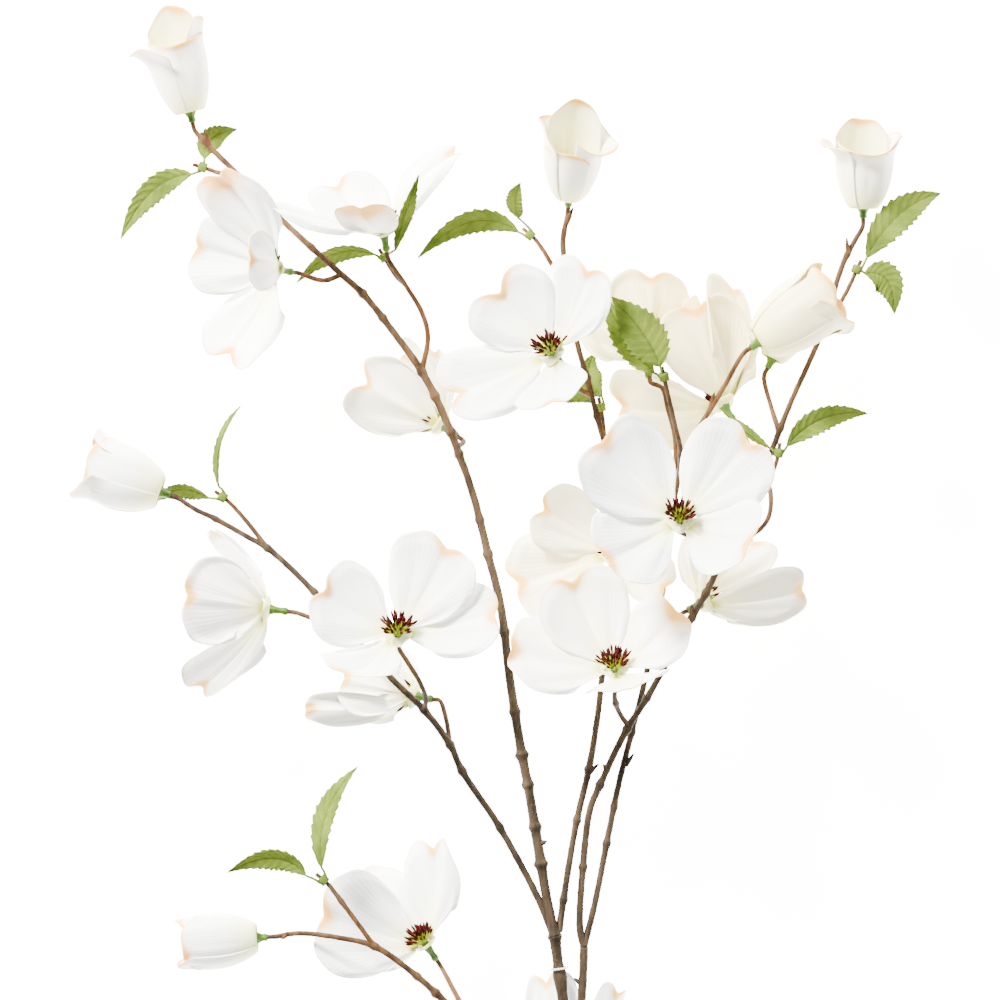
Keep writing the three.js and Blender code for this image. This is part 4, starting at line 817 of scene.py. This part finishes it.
for name, place, direction, first, second in LEAF_PAIRS:
    centre, axis = np.array(place, float), unit(direction)
    points, faces, _ = moved(revolve(CLASP_PROFILE, 24, 5, 0.06), centre, axis)
    parts = [(points, faces, {"t": 0.4, "s": 0.1, "side": 1})]
    for row in (first, second):
        away = np.array(row[0], float) - centre
        away = unit(away - axis * away.dot(axis))
        parts += leaf(centre + away * SLEEVE_ROOT, row)
    make(f"{name}_blades", parts, name, LEAF)


# ---- wood ----
BARK_DEPTH, BARK_STEP = 0.16, 0.9
# A twig's end at a collar, in mm: the gap, the straight run before it and the radius.
END_GAP, END_RUN, END_RADIUS = 0.1, 4, 1.2
# A twig's run before and past the middle of a leaf pair's clasp, and its radii there, in mm.
CLASP_RUN, CLASP_RADIUS, STUB_RUN, STUB_RADIUS = 3, 1.1, 5, 0.95
NUB_SIDES, NUB_STEP = 10, 0.5
BRANCH_SIDES, CARRIER_SIDES, LEAF_TWIG_SIDES = 16, 14, 12


def collar_end(name):
    """The lower end of a bloom's or bud's collar, and the way that the collar points."""
    for row in BLOOMS:
        if row[0] == name:
            axis = unit(row[2])
            return np.array(row[1], float) - axis * (COLLAR_LENGTH + END_GAP), axis
    for row in BUDS:
        if row[0] == name:
            axis = unit(np.array(row[2], float) - row[1])
            return np.array(row[1], float) - axis * (CALYX_LENGTH + END_GAP), axis


def carrier(name, points):
    """A twig's points, carried on into the collar of a bloom or bud."""
    end, axis = collar_end(name)
    return [*points, [*(end - END_RUN * axis), END_RADIUS], [*end, END_RADIUS]]


def leaf_twig(name, points):
    """A twig's points, carried on through the clasp of a leaf pair."""
    row = next(row for row in LEAF_PAIRS if row[0] == name)
    axis = unit(row[2])
    place = np.array(row[1], float)
    near, far = place - CLASP_RUN * axis, place + STUB_RUN * axis
    return [*points, [*near, CLASP_RADIUS], [*far, STUB_RADIUS]]


def bark_tube(points, sides, step=BARK_STEP):
    """A stem with its age, 0 young to 1 old: oldest low down, young on the low left branch."""
    line, radius = spline(points, step)
    pts, faces, attributes = tube(line, radius, sides, bark=BARK_DEPTH)
    age = smooth(pts[:, 1], 380, 30) * (1 - smooth(pts[:, 1], 60, 40) * smooth(pts[:, 0], 268, 258))
    age = age + 0.5 * (max(radius) > 1.75) * smooth(pts[:, 1], 470, 360)
    return pts, faces, {**attributes, "age": np.clip(age, 0, 1)}


stems = [bark_tube(TRUNK, 26, 1.6), bark_tube(LEFT_STEM, 24), bark_tube(RIGHT_STEM, 22)]
stems += [bark_tube(carrier("bud_01", TALL), 20)]
for name, points in (("bud_04", LEFT), ("bud_02", MIDDLE), ("bud_03", RIGHT), ("bud_05", LOW)):
    stems.append(bark_tube(carrier(name, points), BRANCH_SIDES))
stems.append(bark_tube(leaf_twig("leaves_07", INNER_RIGHT), BRANCH_SIDES))
stems += [bark_tube(carrier(name, points), CARRIER_SIDES) for name, points in CARRIERS]
stems += [bark_tube(leaf_twig(name, points), LEAF_TWIG_SIDES) for name, points in LEAF_TWIGS]
for foot, tip, radius in NUBS:
    foot, tip = np.array(foot, float), np.array(tip, float)
    mid = (foot + tip) / 2 + unit(tip - foot) * 0.3
    points = [[*foot, radius], [*mid, radius * 0.85], [*tip, radius * 0.3]]
    stems.append(bark_tube(points, NUB_SIDES, NUB_STEP))
make("bark", stems, "wood", BARK)

# ---- tag loop: two strands twisted round each other ----
STRAND_POINTS, STRAND_SIDES = 161, 8
way = turn_to(np.array(LEFT_STEM[4][:3], float) - LEFT_STEM[3][:3])
strands = []
for start in (0, math.pi):
    a = np.linspace(0, 2 * np.pi, STRAND_POINTS)
    twist = STRAND_TURNS * a + start
    reach = TAG_RADIUS + STRAND_SHIFT * np.cos(twist)
    ring = np.stack([reach * np.cos(a), reach * np.sin(a), STRAND_SHIFT * np.sin(twist)], 1)
    strands.append(tube(ring @ way.T + TAG_CENTRE, np.full(len(a), STRAND_RADIUS), STRAND_SIDES))
make("tag_thread", strands, "tag_loop", THREAD)

# ---- floor, light and camera ----
# Metres: the floor's side, and its gap under the branch so that no face lies in it.
FLOOR_SIZE, FLOOR_GAP = 6, 0.0002
# The floor glows, so that it looks as white as the photo's ground.
FLOOR_GLOW = 13.0
# The photo's middle in the layout, and the camera's height over it in mm.
MIDDLE_X, MIDDLE_Y, CAMERA_HEIGHT = 250, 250, 2550
floor_z = float(START[0][2])
bpy.ops.mesh.primitive_plane_add(size=FLOOR_SIZE, location=(0, 0, floor_z - FLOOR_GAP))
floor = bpy.context.object
floor.name = "floor"
paper = Look("floor", 0.7, Emission_Color=(1, 1, 1, 1), Emission_Strength=FLOOR_GLOW)
floor.data.materials.append(paper.colour(paper.mix(paper.noise(3, 2), (0.9, 0.9, 0.9), (0.92, 0.92, 0.92))))

world = bpy.data.worlds.new("studio")
world.use_nodes = True
sky = world.node_tree.nodes["Background"]
sky.inputs["Color"].default_value = (0.95, 0.97, 1.0, 1)
sky.inputs["Strength"].default_value = 0.5
bpy.context.scene.world = world


def lamp(name, place, target, size, power, colour):
    """A round area lamp of size metres across and power watts, turned to its target."""
    light = bpy.data.lights.new(name, "AREA")
    light.shape, light.size, light.energy, light.color = "DISK", size, power, colour
    holder = bpy.data.objects.new(name, light)
    holder.location = place
    holder.rotation_euler = (Vector(target) - Vector(place)).to_track_quat("-Z", "Y").to_euler()
    bpy.context.scene.collection.objects.link(holder)


centre = Vector(metres([[MIDDLE_X, MIDDLE_Y, 50]])[0])
lamp("key", centre + Vector((-1.2, 1.6, 1.3)), centre, 0.7, 600, (1, 0.99, 0.97))
lamp("fill", centre + Vector((1.3, -0.2, 2.0)), centre, 1.4, 75, (0.93, 0.96, 1))

camera = bpy.data.objects.new("camera", bpy.data.cameras.new("camera"))
camera.data.lens, camera.data.sensor_width = 180, 36
camera.data.clip_start, camera.data.clip_end = 0.1, 20
camera.location = metres([[MIDDLE_X, MIDDLE_Y, CAMERA_HEIGHT]])[0]
camera.rotation_euler = (0, 0, 0)
bpy.context.scene.collection.objects.link(camera)
bpy.context.scene.camera = camera
